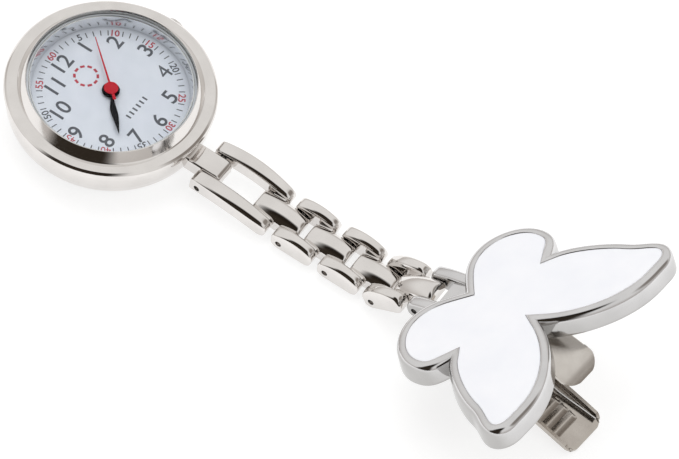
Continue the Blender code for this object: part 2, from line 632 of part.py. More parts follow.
# ============================================================= materials, origins, parents
looks = {
    "case_body": NICKEL, "case_back": STEEL, "back_gasket": RUBBER, "bezel": NICKEL,
    "lens": ((0.9, 0.93, 0.95), 0.03, 0.0), "lens_gasket": RUBBER, "inner_ring": NICKEL,
    "dial": ((0.86, 0.87, 0.93), 0.45, 0.0), "movement_ring": ((0.8, 0.8, 0.78), 0.5, 0.0),
    "movement_plate": BRASS, "train_bridge": STEEL, "bridge_screw_1": STEEL,
    "bridge_screw_2": STEEL, "bridge_screw_3": STEEL, "battery": STEEL, "battery_clip": BRASS,
    "coil": ((0.55, 0.25, 0.1), 0.4, 1.0), "stator": STEEL, "circuit_board": ((0.05, 0.25, 0.12), 0.5, 0.0),
    "rotor": STEEL, "intermediate_wheel": BRASS, "third_wheel": BRASS, "second_wheel": BRASS,
    "centre_wheel": BRASS, "minute_wheel": BRASS, "hour_wheel": BRASS, "hour_hand": BLACK,
    "minute_hand": BLACK, "second_hand": ((0.75, 0.03, 0.05), 0.4, 0.0), "stem": STEEL,
    "crown": NICKEL, "crown_gasket": RUBBER, "setting_lever": STEEL, "long_link": NICKEL,
    "link_1": NICKEL, "link_2": NICKEL, "link_3": NICKEL, "butterfly_frame": NICKEL,
    "enamel_inlay": ((0.9, 0.91, 0.95), 0.12, 0.0), "clip_upper_jaw": NICKEL,
    "clip_lower_jaw": NICKEL, "clip_pin": STEEL, "clip_spring": STEEL,
    "clip_rivet_1": STEEL, "clip_rivet_2": STEEL,
    **{f"link_pin_{i}": STEEL for i in range(5)},
}

clip_axis = clip_point(px, pz, 0)
bodies = {
    "watch_case": (None, (0, 0, 0), ["case_body", "case_back", "back_gasket", "bezel", "lens",
                   "lens_gasket", "inner_ring", "dial", "movement_ring", "movement_plate",
                   "train_bridge", "bridge_screw_1", "bridge_screw_2", "bridge_screw_3", "battery",
                   "battery_clip", "coil", "stator", "circuit_board"]),
    "rotor_arbor": ("watch_case", (*ROTOR, 0), ["rotor"]),
    "intermediate_arbor": ("watch_case", (*INTERMEDIATE, 0), ["intermediate_wheel"]),
    "third_arbor": ("watch_case", (*THIRD, 0), ["third_wheel"]),
    "second_arbor": ("watch_case", (0, 0, 0), ["second_wheel", "second_hand"]),
    "minute_pipe": ("watch_case", (0, 0, 0), ["centre_wheel", "minute_hand"]),
    "minute_arbor": ("watch_case", (*MINUTE_WHEEL, 0), ["minute_wheel"]),
    "hour_pipe": ("watch_case", (0, 0, 0), ["hour_wheel", "hour_hand"]),
    "setting_slide": ("watch_case", (0, 0, STEM_Z), ["setting_lever"]),
    "crown_stem": ("setting_slide", (0, 0, STEM_Z), ["crown", "stem", "crown_gasket"]),
    "long_link_body": ("watch_case", (H0[0], 0, H0[1]), ["long_link", "link_pin_0"]),
    "link_1_body": ("long_link_body", (H1[0], 0, H1[1]), ["link_1", "link_pin_1"]),
    "link_2_body": ("link_1_body", (H2[0], 0, H2[1]), ["link_2", "link_pin_2"]),
    "link_3_body": ("link_2_body", (H3[0], 0, H3[1]), ["link_3", "link_pin_3"]),
    "brooch": ("link_3_body", (H4[0], 0, H4[1]), ["butterfly_frame", "enamel_inlay", "link_pin_4",
               "clip_upper_jaw", "clip_rivet_1", "clip_rivet_2", "clip_pin"]),
    "clip_lever": ("brooch", tuple(clip_axis), ["clip_lower_jaw", "clip_spring"]),
}

axes = {}
for body, (parent, origin, names) in bodies.items():
    empty = bpy.data.objects.new("axis_" + body, None)
    model.objects.link(empty)
    empty.empty_display_size = 2 * MM
    here = Vector(origin) * MM
    if parent:
        empty.parent = axes[parent][0]
        empty.location = here - axes[parent][1]
    axes[body] = (empty, here)
    for name in names:
        obj = bpy.data.objects[name]
        obj.data.transform(Matrix.Translation(-here))
        obj.parent = empty
        obj.data.materials.clear()
        obj.data.materials.append(material(name, looks[name]))
        obj.data.shade_smooth()
        obj.data.set_sharp_from_angle(angle=math.radians(30))
bpy.context.view_layer.update()
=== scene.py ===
"""Looks for the fob watch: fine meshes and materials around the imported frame."""
import json
import math

import bmesh
import bpy
from mathutils import Matrix, Vector

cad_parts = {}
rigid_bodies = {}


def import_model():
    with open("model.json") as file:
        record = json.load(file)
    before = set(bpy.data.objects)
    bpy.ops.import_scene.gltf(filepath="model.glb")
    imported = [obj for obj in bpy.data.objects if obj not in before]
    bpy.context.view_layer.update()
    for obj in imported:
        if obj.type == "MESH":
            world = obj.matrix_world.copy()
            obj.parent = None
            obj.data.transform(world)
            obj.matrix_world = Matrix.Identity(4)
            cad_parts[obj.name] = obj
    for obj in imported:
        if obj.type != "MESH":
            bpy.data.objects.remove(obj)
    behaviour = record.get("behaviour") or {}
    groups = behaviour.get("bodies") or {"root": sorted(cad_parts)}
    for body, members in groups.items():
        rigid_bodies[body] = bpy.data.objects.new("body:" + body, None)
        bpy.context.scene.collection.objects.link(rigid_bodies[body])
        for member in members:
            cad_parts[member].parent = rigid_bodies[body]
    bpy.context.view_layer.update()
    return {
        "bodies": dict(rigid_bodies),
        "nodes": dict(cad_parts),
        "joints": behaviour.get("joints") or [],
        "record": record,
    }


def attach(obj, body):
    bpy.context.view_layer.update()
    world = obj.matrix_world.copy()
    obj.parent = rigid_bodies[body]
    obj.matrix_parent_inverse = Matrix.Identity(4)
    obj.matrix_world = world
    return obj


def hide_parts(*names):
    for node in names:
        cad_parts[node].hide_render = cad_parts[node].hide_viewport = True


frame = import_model()


MM = 0.001
scene = bpy.context.scene

# ------------------------------------------------------------------ camera, in the row frame
AZ, EL, ROLL = math.radians(25.233), math.radians(56.167), math.radians(10.61)
DISTANCE = 0.6834
TARGET = Vector((0.03472, 0.00382, 0.0))
forward = Vector((-math.sin(AZ) * math.cos(EL), math.cos(AZ) * math.cos(EL), -math.sin(EL)))
right = Vector((math.cos(AZ), math.sin(AZ), 0.0))
up = right.cross(forward)
cam_x = math.cos(ROLL) * right + math.sin(ROLL) * up
cam_y = -math.sin(ROLL) * right + math.cos(ROLL) * up
camera_data = bpy.data.cameras.new("camera")
camera_data.sensor_width = 36.0
camera_data.lens = 275.3
camera_data.clip_start = 0.01
camera_data.clip_end = 20.0
camera = bpy.data.objects.new("camera", camera_data)
scene.collection.objects.link(camera)
place = TARGET - forward * DISTANCE
camera.matrix_world = Matrix((
    (cam_x.x, cam_y.x, -forward.x, place.x),
    (cam_x.y, cam_y.y, -forward.y, place.y),
    (cam_x.z, cam_y.z, -forward.z, place.z),
    (0, 0, 0, 1)))
scene.camera = camera
scene.view_settings.view_transform = "Standard"
scene.view_settings.look = "None"

# ------------------------------------------------------------------ the design's main sizes, mm
H0 = (16.88, 2.44)
LONG_PITCH, PITCH = 13.14, 7.35
DROP = -math.asin((H0[1] - 1.25) / LONG_PITCH)
H1 = (H0[0] + LONG_PITCH * math.cos(DROP), 1.25)
H2 = (H1[0] + PITCH, 1.25)
H3 = (H2[0] + PITCH, 1.25)
RISE = math.radians(31.5)
H4 = (H3[0] + PITCH * math.cos(RISE), 1.25 + PITCH * math.sin(RISE))
YAW, BROOCH = math.radians(-4.5), math.radians(24.1)
LINK_HALF, SIDE_IN, LINK_OUT, MID_OUT = 1.25, 1.95, 3.83, 1.85
STEM_Z = 3.4
DIAL_TOP = 5.27


# ------------------------------------------------------------------ node helpers
def tree(name):
    mat = bpy.data.materials.new(name)
    mat.use_nodes = True
    nodes = mat.node_tree.nodes
    return mat, nodes, mat.node_tree.links, nodes["Principled BSDF"]


def node(nodes, kind, **values):
    made = nodes.new(kind)
    for key, value in values.items():
        if key.startswith("in_"):
            made.inputs[key[3:].replace("_", " ")].default_value = value
        else:
            setattr(made, key, value)
    return made


def noise(nodes, links, scale, detail=3.0, stretch=(1, 1, 1), rough=0.5):
    coord = nodes.new("ShaderNodeTexCoord")
    mapping = nodes.new("ShaderNodeMapping")
    mapping.inputs["Scale"].default_value = stretch
    tex = node(nodes, "ShaderNodeTexNoise", in_Scale=scale, in_Detail=detail, in_Roughness=rough)
    links.new(coord.outputs["Object"], mapping.inputs["Vector"])
    links.new(mapping.outputs["Vector"], tex.inputs["Vector"])
    return tex


def ramp(nodes, links, source, low, high, start=0.3, end=0.7):
    """A colour or grey that runs from low to high as the source does."""
    r = nodes.new("ShaderNodeValToRGB")
    r.color_ramp.elements[0].position = start
    r.color_ramp.elements[1].position = end
    r.color_ramp.elements[0].color = low if len(low) == 4 else (*low, 1)
    r.color_ramp.elements[1].color = high if len(high) == 4 else (*high, 1)
    links.new(source, r.inputs["Fac"])
    return r.outputs["Color"]


def span(nodes, links, source, low, high, start=0.3, end=0.7):
    m = nodes.new("ShaderNodeMapRange")
    m.inputs["From Min"].default_value = start
    m.inputs["From Max"].default_value = end
    m.inputs["To Min"].default_value = low
    m.inputs["To Max"].default_value = high
    links.new(source, m.inputs["Value"])
    return m.outputs["Result"]


def bump(nodes, links, shader, source, strength, distance, previous=None):
    b = nodes.new("ShaderNodeBump")
    b.inputs["Strength"].default_value = strength
    b.inputs["Distance"].default_value = distance
    links.new(source, b.inputs["Height"])
    if previous is not None:
        links.new(previous, b.inputs["Normal"])
    links.new(b.outputs["Normal"], shader.inputs["Normal"])
    return b.outputs["Normal"]


def metal(name, low, high, rough, grain=9000.0, stretch=(1, 1, 1), wave=0.0, wave_scale=260.0,
          scratch=0.05):
    """Metal with a slow colour drift, fine surface grain and, on castings, a soft waviness."""
    mat, nodes, links, shader = tree(name)
    shader.inputs["Metallic"].default_value = 1.0
    drift = noise(nodes, links, 300.0, 4.0)
    links.new(ramp(nodes, links, drift.outputs["Fac"], low, high), shader.inputs["Base Color"])
    fine = noise(nodes, links, grain, 2.0, stretch)
    links.new(span(nodes, links, fine.outputs["Fac"], rough[0], rough[1]), shader.inputs["Roughness"])
    normal = bump(nodes, links, shader, fine.outputs["Fac"], scratch, 2e-6)
    if wave:
        slow = noise(nodes, links, wave_scale, 2.0)
        bump(nodes, links, shader, slow.outputs["Fac"], wave, 1.2e-4, normal)
    return mat


def paint(name, low, high, rough, coat=0.0, grain=4000.0, relief=0.06, specular=0.5):
    mat, nodes, links, shader = tree(name)
    drift = noise(nodes, links, 220.0, 3.0)
    links.new(ramp(nodes, links, drift.outputs["Fac"], low, high), shader.inputs["Base Color"])
    fine = noise(nodes, links, grain, 2.0)
    links.new(span(nodes, links, fine.outputs["Fac"], rough[0], rough[1]), shader.inputs["Roughness"])
    shader.inputs["Coat Weight"].default_value = coat
    shader.inputs["Coat Roughness"].default_value = 0.04
    shader.inputs["Specular IOR Level"].default_value = specular
    bump(nodes, links, shader, fine.outputs["Fac"], relief, 2e-6)
    return mat


polished = metal("polished_nickel", (0.735, 0.71, 0.69), (0.80, 0.775, 0.755), (0.05, 0.10), wave=0.10)
cast = metal("cast_nickel", (0.72, 0.71, 0.695), (0.80, 0.79, 0.775), (0.10, 0.19), wave=0.22, scratch=0.10)
rim_metal = metal("brooch_nickel", (0.66, 0.655, 0.66), (0.72, 0.715, 0.72), (0.07, 0.13), wave=0.14)
bright = metal("bright_nickel", (0.80, 0.79, 0.78), (0.86, 0.85, 0.84), (0.03, 0.06), wave=0.03)


def flanks(mat, colour, low, high):
    """A metal darkened in colour on its upright faces, a painted shade that makes its walls read darker than its
    polished top.
    """
    nodes, links = mat.node_tree.nodes, mat.node_tree.links
    base = nodes["Principled BSDF"].inputs["Base Color"]
    source = base.links[0].from_socket
    geometry = nodes.new("ShaderNodeNewGeometry")
    split = nodes.new("ShaderNodeSeparateXYZ")
    links.new(geometry.outputs["Normal"], split.inputs["Vector"])
    m = nodes.new("ShaderNodeMapRange")
    m.interpolation_type = "SMOOTHSTEP"
    m.inputs["From Min"].default_value = low
    m.inputs["From Max"].default_value = high
    m.inputs["To Min"].default_value = 1.0
    m.inputs["To Max"].default_value = 0.0
    links.new(split.outputs["Z"], m.inputs["Value"])
    mix = nodes.new("ShaderNodeMix")
    mix.data_type = "RGBA"
    mix.blend_type = "MULTIPLY"
    links.new(m.outputs["Result"], mix.inputs["Factor"])
    links.new(source, mix.inputs["A"])
    mix.inputs["B"].default_value = (*colour, 1)
    links.new(mix.outputs["Result"], base)


# painted shade: the brooch's upright walls are darkened in colour
flanks(rim_metal, (0.69, 0.685, 0.67), 0.25, 0.6)
ring_metal = metal("ring_nickel", (0.70, 0.705, 0.715), (0.77, 0.775, 0.785), (0.13, 0.18), wave=0.03)
# one nickel for the clip's two sheets, in two shades: the upper plate's lighter copy is painted light, and the lower
# lever's darker copy is painted shade
lit_plate_nickel = metal("plate_nickel_painted_light", (0.60, 0.565, 0.525), (0.68, 0.645, 0.605), (0.17, 0.26),
                    stretch=(0.25, 1, 1), wave=0.14, scratch=0.12)
stamped = metal("lever_nickel_painted_shade", (0.46, 0.42, 0.38), (0.56, 0.52, 0.475), (0.16, 0.26),
                stretch=(0.25, 1, 1), wave=0.16, scratch=0.14)
steel = metal("plain_steel", (0.50, 0.49, 0.48), (0.60, 0.59, 0.58), (0.22, 0.34), stretch=(1, 0.12, 1), scratch=0.16)
spring_steel = metal("spring_steel", (0.62, 0.61, 0.60), (0.70, 0.69, 0.68), (0.12, 0.20), scratch=0.10)
brass = metal("brass", (0.66, 0.48, 0.21), (0.76, 0.58, 0.28), (0.20, 0.32), stretch=(1, 0.15, 1), scratch=0.16)
enamel = paint("white_enamel", (0.86, 0.875, 0.925), (0.90, 0.91, 0.95), (0.10, 0.16), coat=0.7, grain=1500.0, relief=0.02)
dial_white = paint("dial_white", (0.70, 0.73, 0.82), (0.74, 0.77, 0.85), (0.38, 0.50))
ink_dark = paint("ink_dark", (0.085, 0.090, 0.108), (0.115, 0.12, 0.14), (0.45, 0.60))
ink_red = paint("ink_red", (0.42, 0.040, 0.065), (0.52, 0.06, 0.09), (0.45, 0.60))
hand_black = paint("hand_black", (0.004, 0.004, 0.006), (0.010, 0.010, 0.014), (0.30, 0.42), specular=0.12)
hand_red = paint("hand_red", (0.50, 0.006, 0.018), (0.62, 0.012, 0.035), (0.34, 0.46), specular=0.2)
nylon = paint("clear_nylon", (0.60, 0.62, 0.66), (0.70, 0.72, 0.76), (0.30, 0.45), relief=0.1)
rubber = paint("rubber", (0.012, 0.012, 0.012), (0.03, 0.03, 0.03), (0.6, 0.8), grain=9000.0, relief=0.3)
plastic = paint("movement_plastic", (0.70, 0.70, 0.67), (0.78, 0.78, 0.75), (0.42, 0.56), relief=0.12)
green = paint("circuit_green", (0.015, 0.10, 0.045), (0.03, 0.17, 0.07), (0.25, 0.40), coat=0.4)


def copper_material():
    mat, nodes, links, shader = tree("coil_copper")
    coord = nodes.new("ShaderNodeTexCoord")
    wave = node(nodes, "ShaderNodeTexWave", in_Scale=5200.0, in_Distortion=0.4, in_Detail=1.0)
    wave.bands_direction = "Y"
    links.new(coord.outputs["Object"], wave.inputs["Vector"])
    links.new(ramp(nodes, links, wave.outputs["Fac"], (0.30, 0.10, 0.03), (0.62, 0.27, 0.10), 0.2, 0.8),
              shader.inputs["Base Color"])
    shader.inputs["Metallic"].default_value = 0.8
    shader.inputs["Roughness"].default_value = 0.32
    bump(nodes, links, shader, wave.outputs["Fac"], 0.5, 2e-5)
    return mat


copper = copper_material()


def glass_material():
    """Flat coated glass: clear, with a weak reflection from its outer face."""
    mat, nodes, links, shader = tree("crystal")
    out = nodes["Material Output"]
    nodes.remove(shader)
    clear = node(nodes, "ShaderNodeBsdfTransparent")
    smear = noise(nodes, links, 500.0, 4.0)
    links.new(ramp(nodes, links, smear.outputs["Fac"], (0.955, 0.965, 0.965), (0.985, 0.99, 0.99)), clear.inputs["Color"])
    gloss = node(nodes, "ShaderNodeBsdfGlossy")
    links.new(span(nodes, links, smear.outputs["Fac"], 0.012, 0.03), gloss.inputs["Roughness"])
    fresnel = node(nodes, "ShaderNodeFresnel", in_IOR=1.16)
    mix = nodes.new("ShaderNodeMixShader")
    links.new(fresnel.outputs["Fac"], mix.inputs["Fac"])
    links.new(clear.outputs["BSDF"], mix.inputs[1])
    links.new(gloss.outputs["BSDF"], mix.inputs[2])
    # only the outer face mirrors, so that the glass stays clear when seen from low down
    side = nodes.new("ShaderNodeNewGeometry")
    faces = nodes.new("ShaderNodeMixShader")
    links.new(side.outputs["Backfacing"], faces.inputs["Fac"])
    links.new(mix.outputs["Shader"], faces.inputs[1])
    links.new(clear.outputs["BSDF"], faces.inputs[2])
    links.new(faces.outputs["Shader"], out.inputs["Surface"])
    return mat


glass = glass_material()


# ------------------------------------------------------------------ mesh helpers
def shift(x, y, z):
    return Matrix.Translation(Vector((x, y, z)) * MM)


def upright(x, z, pitch=0.0, yaw=0.0):
    """Local x along a link, local y up from it, local z towards -Y."""
    side = Matrix(((1, 0, 0, 0), (0, 0, -1, 0), (0, 1, 0, 0), (0, 0, 0, 1)))
    return shift(x, 0, z) @ Matrix.Rotation(yaw, 4, "Z") @ Matrix.Rotation(-pitch, 4, "Y") @ side


def level(x, z, pitch=0.0, yaw=0.0):
    """Local x along a link, local y across it towards +Y, local z up from it."""
    return shift(x, 0, z) @ Matrix.Rotation(yaw, 4, "Z") @ Matrix.Rotation(-pitch, 4, "Y")


def to_mesh(name, bm, matrix=None):
    bmesh.ops.remove_doubles(bm, verts=bm.verts, dist=1e-7)
    bmesh.ops.recalc_face_normals(bm, faces=bm.faces)
    mesh = bpy.data.meshes.new(name)
    bm.to_mesh(mesh)
    bm.free()
    if matrix is not None:
        mesh.transform(matrix)
    return mesh


def temp(mesh, name="temp"):
    obj = bpy.data.objects.new(name, mesh)
    scene.collection.objects.link(obj)
    return obj


def boolean(mesh, tools, operation):
    """The mesh cut by, or joined to, each of the tools' meshes."""
    base = temp(mesh)
    others = [temp(t) for t in tools]
    for other in others:
        mod = base.modifiers.new("b", "BOOLEAN")
        mod.operation = operation
        mod.solver = "EXACT"
        mod.object = other
    bpy.context.view_layer.update()
    done = bpy.data.meshes.new_from_object(base.evaluated_get(bpy.context.evaluated_depsgraph_get()))
    for obj in (base, *others):
        bpy.data.objects.remove(obj, do_unlink=True)
    return done


def merged(name, meshes):
    bm = bmesh.new()
    for mesh in meshes:
        bm.from_mesh(mesh)
    out = bpy.data.meshes.new(name)
    bm.to_mesh(out)
    bm.free()
    return out


def piece(name, mesh, body, mat, slot, *nodes, sharp=32.0):
    mesh.name = name
    mesh.materials.clear()
    mesh.materials.append(mat)
    mesh.shade_smooth()
    mesh.set_sharp_from_angle(angle=math.radians(sharp))
    obj = bpy.data.objects.new(name, mesh)
    scene.collection.objects.link(obj)
    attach(obj, body)
    if nodes:
        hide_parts(*nodes)
    return obj


def lathe(name, profile, seg=160, matrix=None):
    """A closed (radius, height) loop, or a line that starts and ends on the axis, turned about Z."""
    bm = bmesh.new()
    closed = min(r for r, _ in profile) > 1e-9
    rings = []
    for r, z in profile:
        if r < 1e-9:
            rings.append([bm.verts.new((0, 0, z * MM))])
        else:
            rings.append([bm.verts.new((r * MM * math.cos(2 * math.pi * i / seg),
                                        r * MM * math.sin(2 * math.pi * i / seg), z * MM))
                          for i in range(seg)])
    pairs = list(zip(rings, rings[1:]))
    if closed:
        pairs.append((rings[-1], rings[0]))
    for a, b in pairs:
        for i in range(seg):
            j = (i + 1) % seg
            if len(a) == 1 and len(b) == 1:
                continue
            if len(a) == 1:
                bm.faces.new((a[0], b[i], b[j]))
            elif len(b) == 1:
                bm.faces.new((a[i], b[0], a[j]))
            else:
                bm.faces.new((a[i], b[i], b[j], a[j]))
    return to_mesh(name, bm, matrix)


def fillet(points, radii, closed=True, steps=5):
    """The corners of a line or loop rounded by their radii."""
    out = []
    n = len(points)
    for i, (x, y) in enumerate(points):
        r = radii if isinstance(radii, (int, float)) else radii[i]
        if r <= 0 or (not closed and i in (0, n - 1)):
            out.append((x, y))
            continue
        p, q = Vector(points[i - 1]), Vector(points[(i + 1) % n])
        c = Vector((x, y))
        a, b = (p - c), (q - c)
        la, lb = a.length, b.length
        a.normalize()
        b.normalize()
        cosine = max(-1.0, min(1.0, a.dot(b)))
        angle = math.acos(cosine)
        if angle > math.pi - 0.02:
            out.append((x, y))
            continue
        reach = min(r / math.tan(angle / 2), 0.48 * la, 0.48 * lb)
        s, e = c + a * reach, c + b * reach
        for k in range(steps + 1):
            t = k / steps
            point = (1 - t) ** 2 * s + 2 * (1 - t) * t * c + t * t * e
            out.append((point.x, point.y))
    return out


def loft(name, loops, matrix=None, caps=(True, True)):
    """Faces between closed loops of 3D points in millimetres, which all have the same count."""
    bm = bmesh.new()
    rings = [[bm.verts.new(Vector(p) * MM) for p in loop] for loop in loops]
    n = len(loops[0])
    for a, b in zip(rings, rings[1:]):
        for i in range(n):
            j = (i + 1) % n
            bm.faces.new((a[i], a[j], b[j], b[i]))
    if caps[0]:
        bm.faces.new(rings[0][::-1])
    if caps[1]:
        bm.faces.new(rings[-1])
    return to_mesh(name, bm, matrix)


def inset(outline, distance, longest=1.9):
    """The outline moved inwards, with sharp corners kept and long spikes shortened."""
    area = sum(a[0] * b[1] - b[0] * a[1] for a, b in zip(outline, outline[1:] + outline[:1]))
    side = 1.0 if area > 0 else -1.0
    out = []
    for i, (x, y) in enumerate(outline):
        px, py = outline[i - 1]
        qx, qy = outline[(i + 1) % len(outline)]
        l1, l2 = math.hypot(x - px, y - py), math.hypot(qx - x, qy - y)
        n1 = (-(y - py) / l1 * side, (x - px) / l1 * side)
        n2 = (-(qy - y) / l2 * side, (qx - x) / l2 * side)
        mx, my = n1[0] + n2[0], n1[1] + n2[1]
        size = math.hypot(mx, my)
        reach = min(size / (1 + n1[0] * n2[0] + n1[1] * n2[1] + 1e-9), longest) * distance
        out.append((x + mx / size * reach, y + my / size * reach))
    return out


def soft_plate(name, outline, low, high, radius, matrix=None, steps=4):
    """A flat plate whose top and bottom edges are rounded."""
    levels = []
    for k in range(steps + 1):
        a = math.pi / 2 * k / steps
        levels.append((radius * (1 - math.sin(a)), low + radius * (1 - math.cos(a))))
    levels += [(d, high + low - z) for d, z in reversed(levels)]
    loops = [[(x, y, z) for x, y in (inset(outline, d) if d > 1e-9 else outline)] for d, z in levels]
    return loft(name, loops, matrix)


def cylinder(name, radius, start, end, sides=40, rim=0.06):
    """A round bar between two points, with its end edges eased."""
    a, b = Vector(start) * MM, Vector(end) * MM
    axis = b - a
    length = axis.length / MM
    m = Matrix.Translation(a) @ axis.to_track_quat("Z", "Y").to_matrix().to_4x4()
    return lathe(name, [(0, 0), (radius - rim, 0), (radius, rim), (radius, length - rim),
                        (radius - rim, length), (0, length)], sides, m)


def rounded_box(low, high, radius, cuts=(14, 6, 5), arc=4):
    """A box as a fine grid on all six sides, with round edges, ready to be bent. Millimetres."""
    centre = [(a + b) / 2 for a, b in zip(low, high)]
    half = [(b - a) / 2 for a, b in zip(low, high)]
    ticks = []
    for h, n in zip(half, cuts):
        inner = h - radius
        line = [-h + radius * k / arc for k in range(arc)]
        line += [-inner + 2 * inner * k / n for k in range(n + 1)]
        line += [inner + radius * (k + 1) / arc for k in range(arc)]
        ticks.append(line)
    bm = bmesh.new()

    def corner(p):
        core = [max(-(h - radius), min(h - radius, c)) for c, h in zip(p, half)]
        d = Vector([c - k for c, k in zip(p, core)])
        if d.length > 1e-9:
            big = max(abs(c) for c in d)
            d = d.normalized() * big if sum(abs(c) > 1e-9 for c in d) > 1 else d
        return Vector([k + c + m for k, c, m in zip(core, d, centre)])

    for axis in range(3):
        u, v = [i for i in range(3) if i != axis]
        for sign in (-1, 1):
            grid = []
            for a in ticks[u]:
                row = []
                for b in ticks[v]:
                    p = [0, 0, 0]
                    p[axis], p[u], p[v] = sign * half[axis], a, b
                    row.append(bm.verts.new(corner(p)))
                grid.append(row)
            for i in range(len(grid) - 1):
                for j in range(len(grid[0]) - 1):
                    bm.faces.new((grid[i][j], grid[i + 1][j], grid[i + 1][j + 1], grid[i][j + 1]))
    bmesh.ops.remove_doubles(bm, verts=bm.verts, dist=1e-4)
    return bm


def smooth_line(points, steps):
    out = []
    ends = [points[0], *points, points[-1]]
    for i in range(1, len(ends) - 2):
        p0, p1, p2, p3 = ends[i - 1:i + 3]
        for k in range(steps):
            t = k / steps
            out.append(tuple(
                0.5 * (2 * b + (c - a) * t + (2 * a - 5 * b + 4 * c - d) * t * t
                       + (3 * b - a - 3 * c + d) * t ** 3)
                for a, b, c, d in zip(p0, p1, p2, p3)))
    out.append(tuple(points[-1]))
    return out


def between(points, x):
    """The height at x of a line of points sorted by x."""
    if x <= points[0][0]:
        return points[0][1]
    for (x0, y0), (x1, y1) in zip(points, points[1:]):
        if x <= x1:
            return y0 + (y1 - y0) * (x - x0) / (x1 - x0)
    return points[-1][1]


def ease(t):
    t = max(0.0, min(1.0, t))
    return t * t * (3 - 2 * t)


# ------------------------------------------------------------------ watch head
case_profile = fillet([
    (11.97, 5.45), (13.30, 5.45), (13.66, 5.26), (13.83, 4.7), (13.88, 3.9), (13.83, 3.0),
    (13.62, 2.1), (13.26, 1.35), (12.8, 0.85), (12.35, 0.64), (11.97, 0.64)],
    [0.05, 0.1, 0.3, 0.8, 0.8, 0.8, 0.8, 0.8, 0.8, 0.1, 0.05], steps=5)
case = lathe("case", case_profile, 192)
tongue_side = fillet([(12.4, 1.19), (18.88, 1.19), (18.88, 3.69), (12.4, 3.69)], [0, 1.2, 1.2, 0], steps=10)
tongue = soft_plate("tongue", tongue_side, -1.7, 1.7, 0.42, upright(0, 0), 6)
tongue_plan = fillet([(12.0, -1.75), (18.9, -1.75), (18.9, 1.75), (12.0, 1.75)], [0, 0.8, 0.8, 0], steps=10)
tongue = boolean(tongue, [soft_plate("plan", tongue_plan, 0.8, 4.1, 0.05)], "INTERSECT")
case = boolean(case, [tongue], "UNION")
case = boolean(case, [
    cylinder("h", 0.47, (H0[0], -3, H0[1]), (H0[0], 3, H0[1]), 32, 0.0),
    cylinder("h", 0.72, (0, 11, STEM_Z), (0, 15, STEM_Z), 32, 0.0)], "DIFFERENCE")
piece("case_shell", case, "watch_case", polished, "polished_nickel", "case_body", sharp=28)

bezel = lathe("bezel", fillet([
    (11.34, 7.83), (11.39, 7.90), (11.47, 7.89), (12.28, 6.52), (12.42, 6.38), (12.66, 6.40),
    (13.12, 6.43), (13.78, 6.38), (14.09, 6.12), (14.24, 5.74), (14.14, 5.57), (13.84, 5.50),
    (11.97, 5.50), (11.97, 6.1), (11.0, 6.1), (11.0, 6.86), (11.34, 6.86)],
    [0.03, 0.03, 0.05, 0.10, 0.04, 0.3, 0.4, 0.18, 0.18, 0.12, 0.1, 0.08, 0, 0, 0, 0, 0],
    steps=5), 192)
piece("bezel_ring", bezel, "watch_case", polished, "polished_nickel", "bezel", sharp=25)

piece("crystal", lathe("crystal", fillet([
    (0, 7.99), (11.12, 7.99), (11.29, 7.82), (11.29, 7.2), (0, 7.2)],
    [0, 0.05, 0.05, 0.02, 0], closed=False), 160), "watch_case", glass, "crystal", "lens")
piece("crystal_gasket", lathe("crystal_gasket", fillet(
    [(11.02, 7.15), (11.30, 7.15), (11.30, 6.89), (11.02, 6.89)], 0.06), 120),
    "watch_case", nylon, "rubber_seal", "lens_gasket")
piece("dial_ring", lathe("dial_ring", fillet(
    [(10.8, 7.12), (10.97, 7.12), (10.97, 6.05), (11.85, 6.05), (11.85, 5.32), (10.42, 5.32)],
    [0.03, 0.03, 0, 0, 0, 0.02]), 192),
    "watch_case", ring_metal, "polished_nickel", "inner_ring")
piece("dial_plate", lathe("dial_plate", fillet([
    (0.95, DIAL_TOP), (11.8, DIAL_TOP), (11.8, 5.0), (0.95, 5.0)], 0.03), 128),
    "watch_case", dial_white, "dial_white", "dial")

back = lathe("back", fillet([
    (0, 0.6), (10.9, 0.6), (10.9, 1.2), (11.35, 1.2), (11.35, 0.6), (12.25, 0.6), (12.25, 0.28),
    (11.9, 0.0), (9.6, 0.0), (9.5, 0.05), (9.3, 0.05), (9.2, 0.0), (0, 0.0)],
    [0, 0.05, 0.05, 0.05, 0.05, 0.08, 0.1, 0.12, 0.02, 0.02, 0.02, 0.02, 0], closed=False), 160)
pry = bmesh.new()
bmesh.ops.create_cube(pry, size=1.0, matrix=shift(-12.25, 0, 0.42) @ Matrix.Diagonal((0.9 * MM, 2.4 * MM, 0.5 * MM, 1)))
back = boolean(back, [to_mesh("pry", pry)], "DIFFERENCE")
back_steel = metal("back_steel", (0.56, 0.55, 0.54), (0.66, 0.65, 0.64), (0.16, 0.26), stretch=(1, 0.06, 1), scratch=0.2)
piece("snap_back", back, "watch_case", back_steel, "brushed_steel", "case_back")


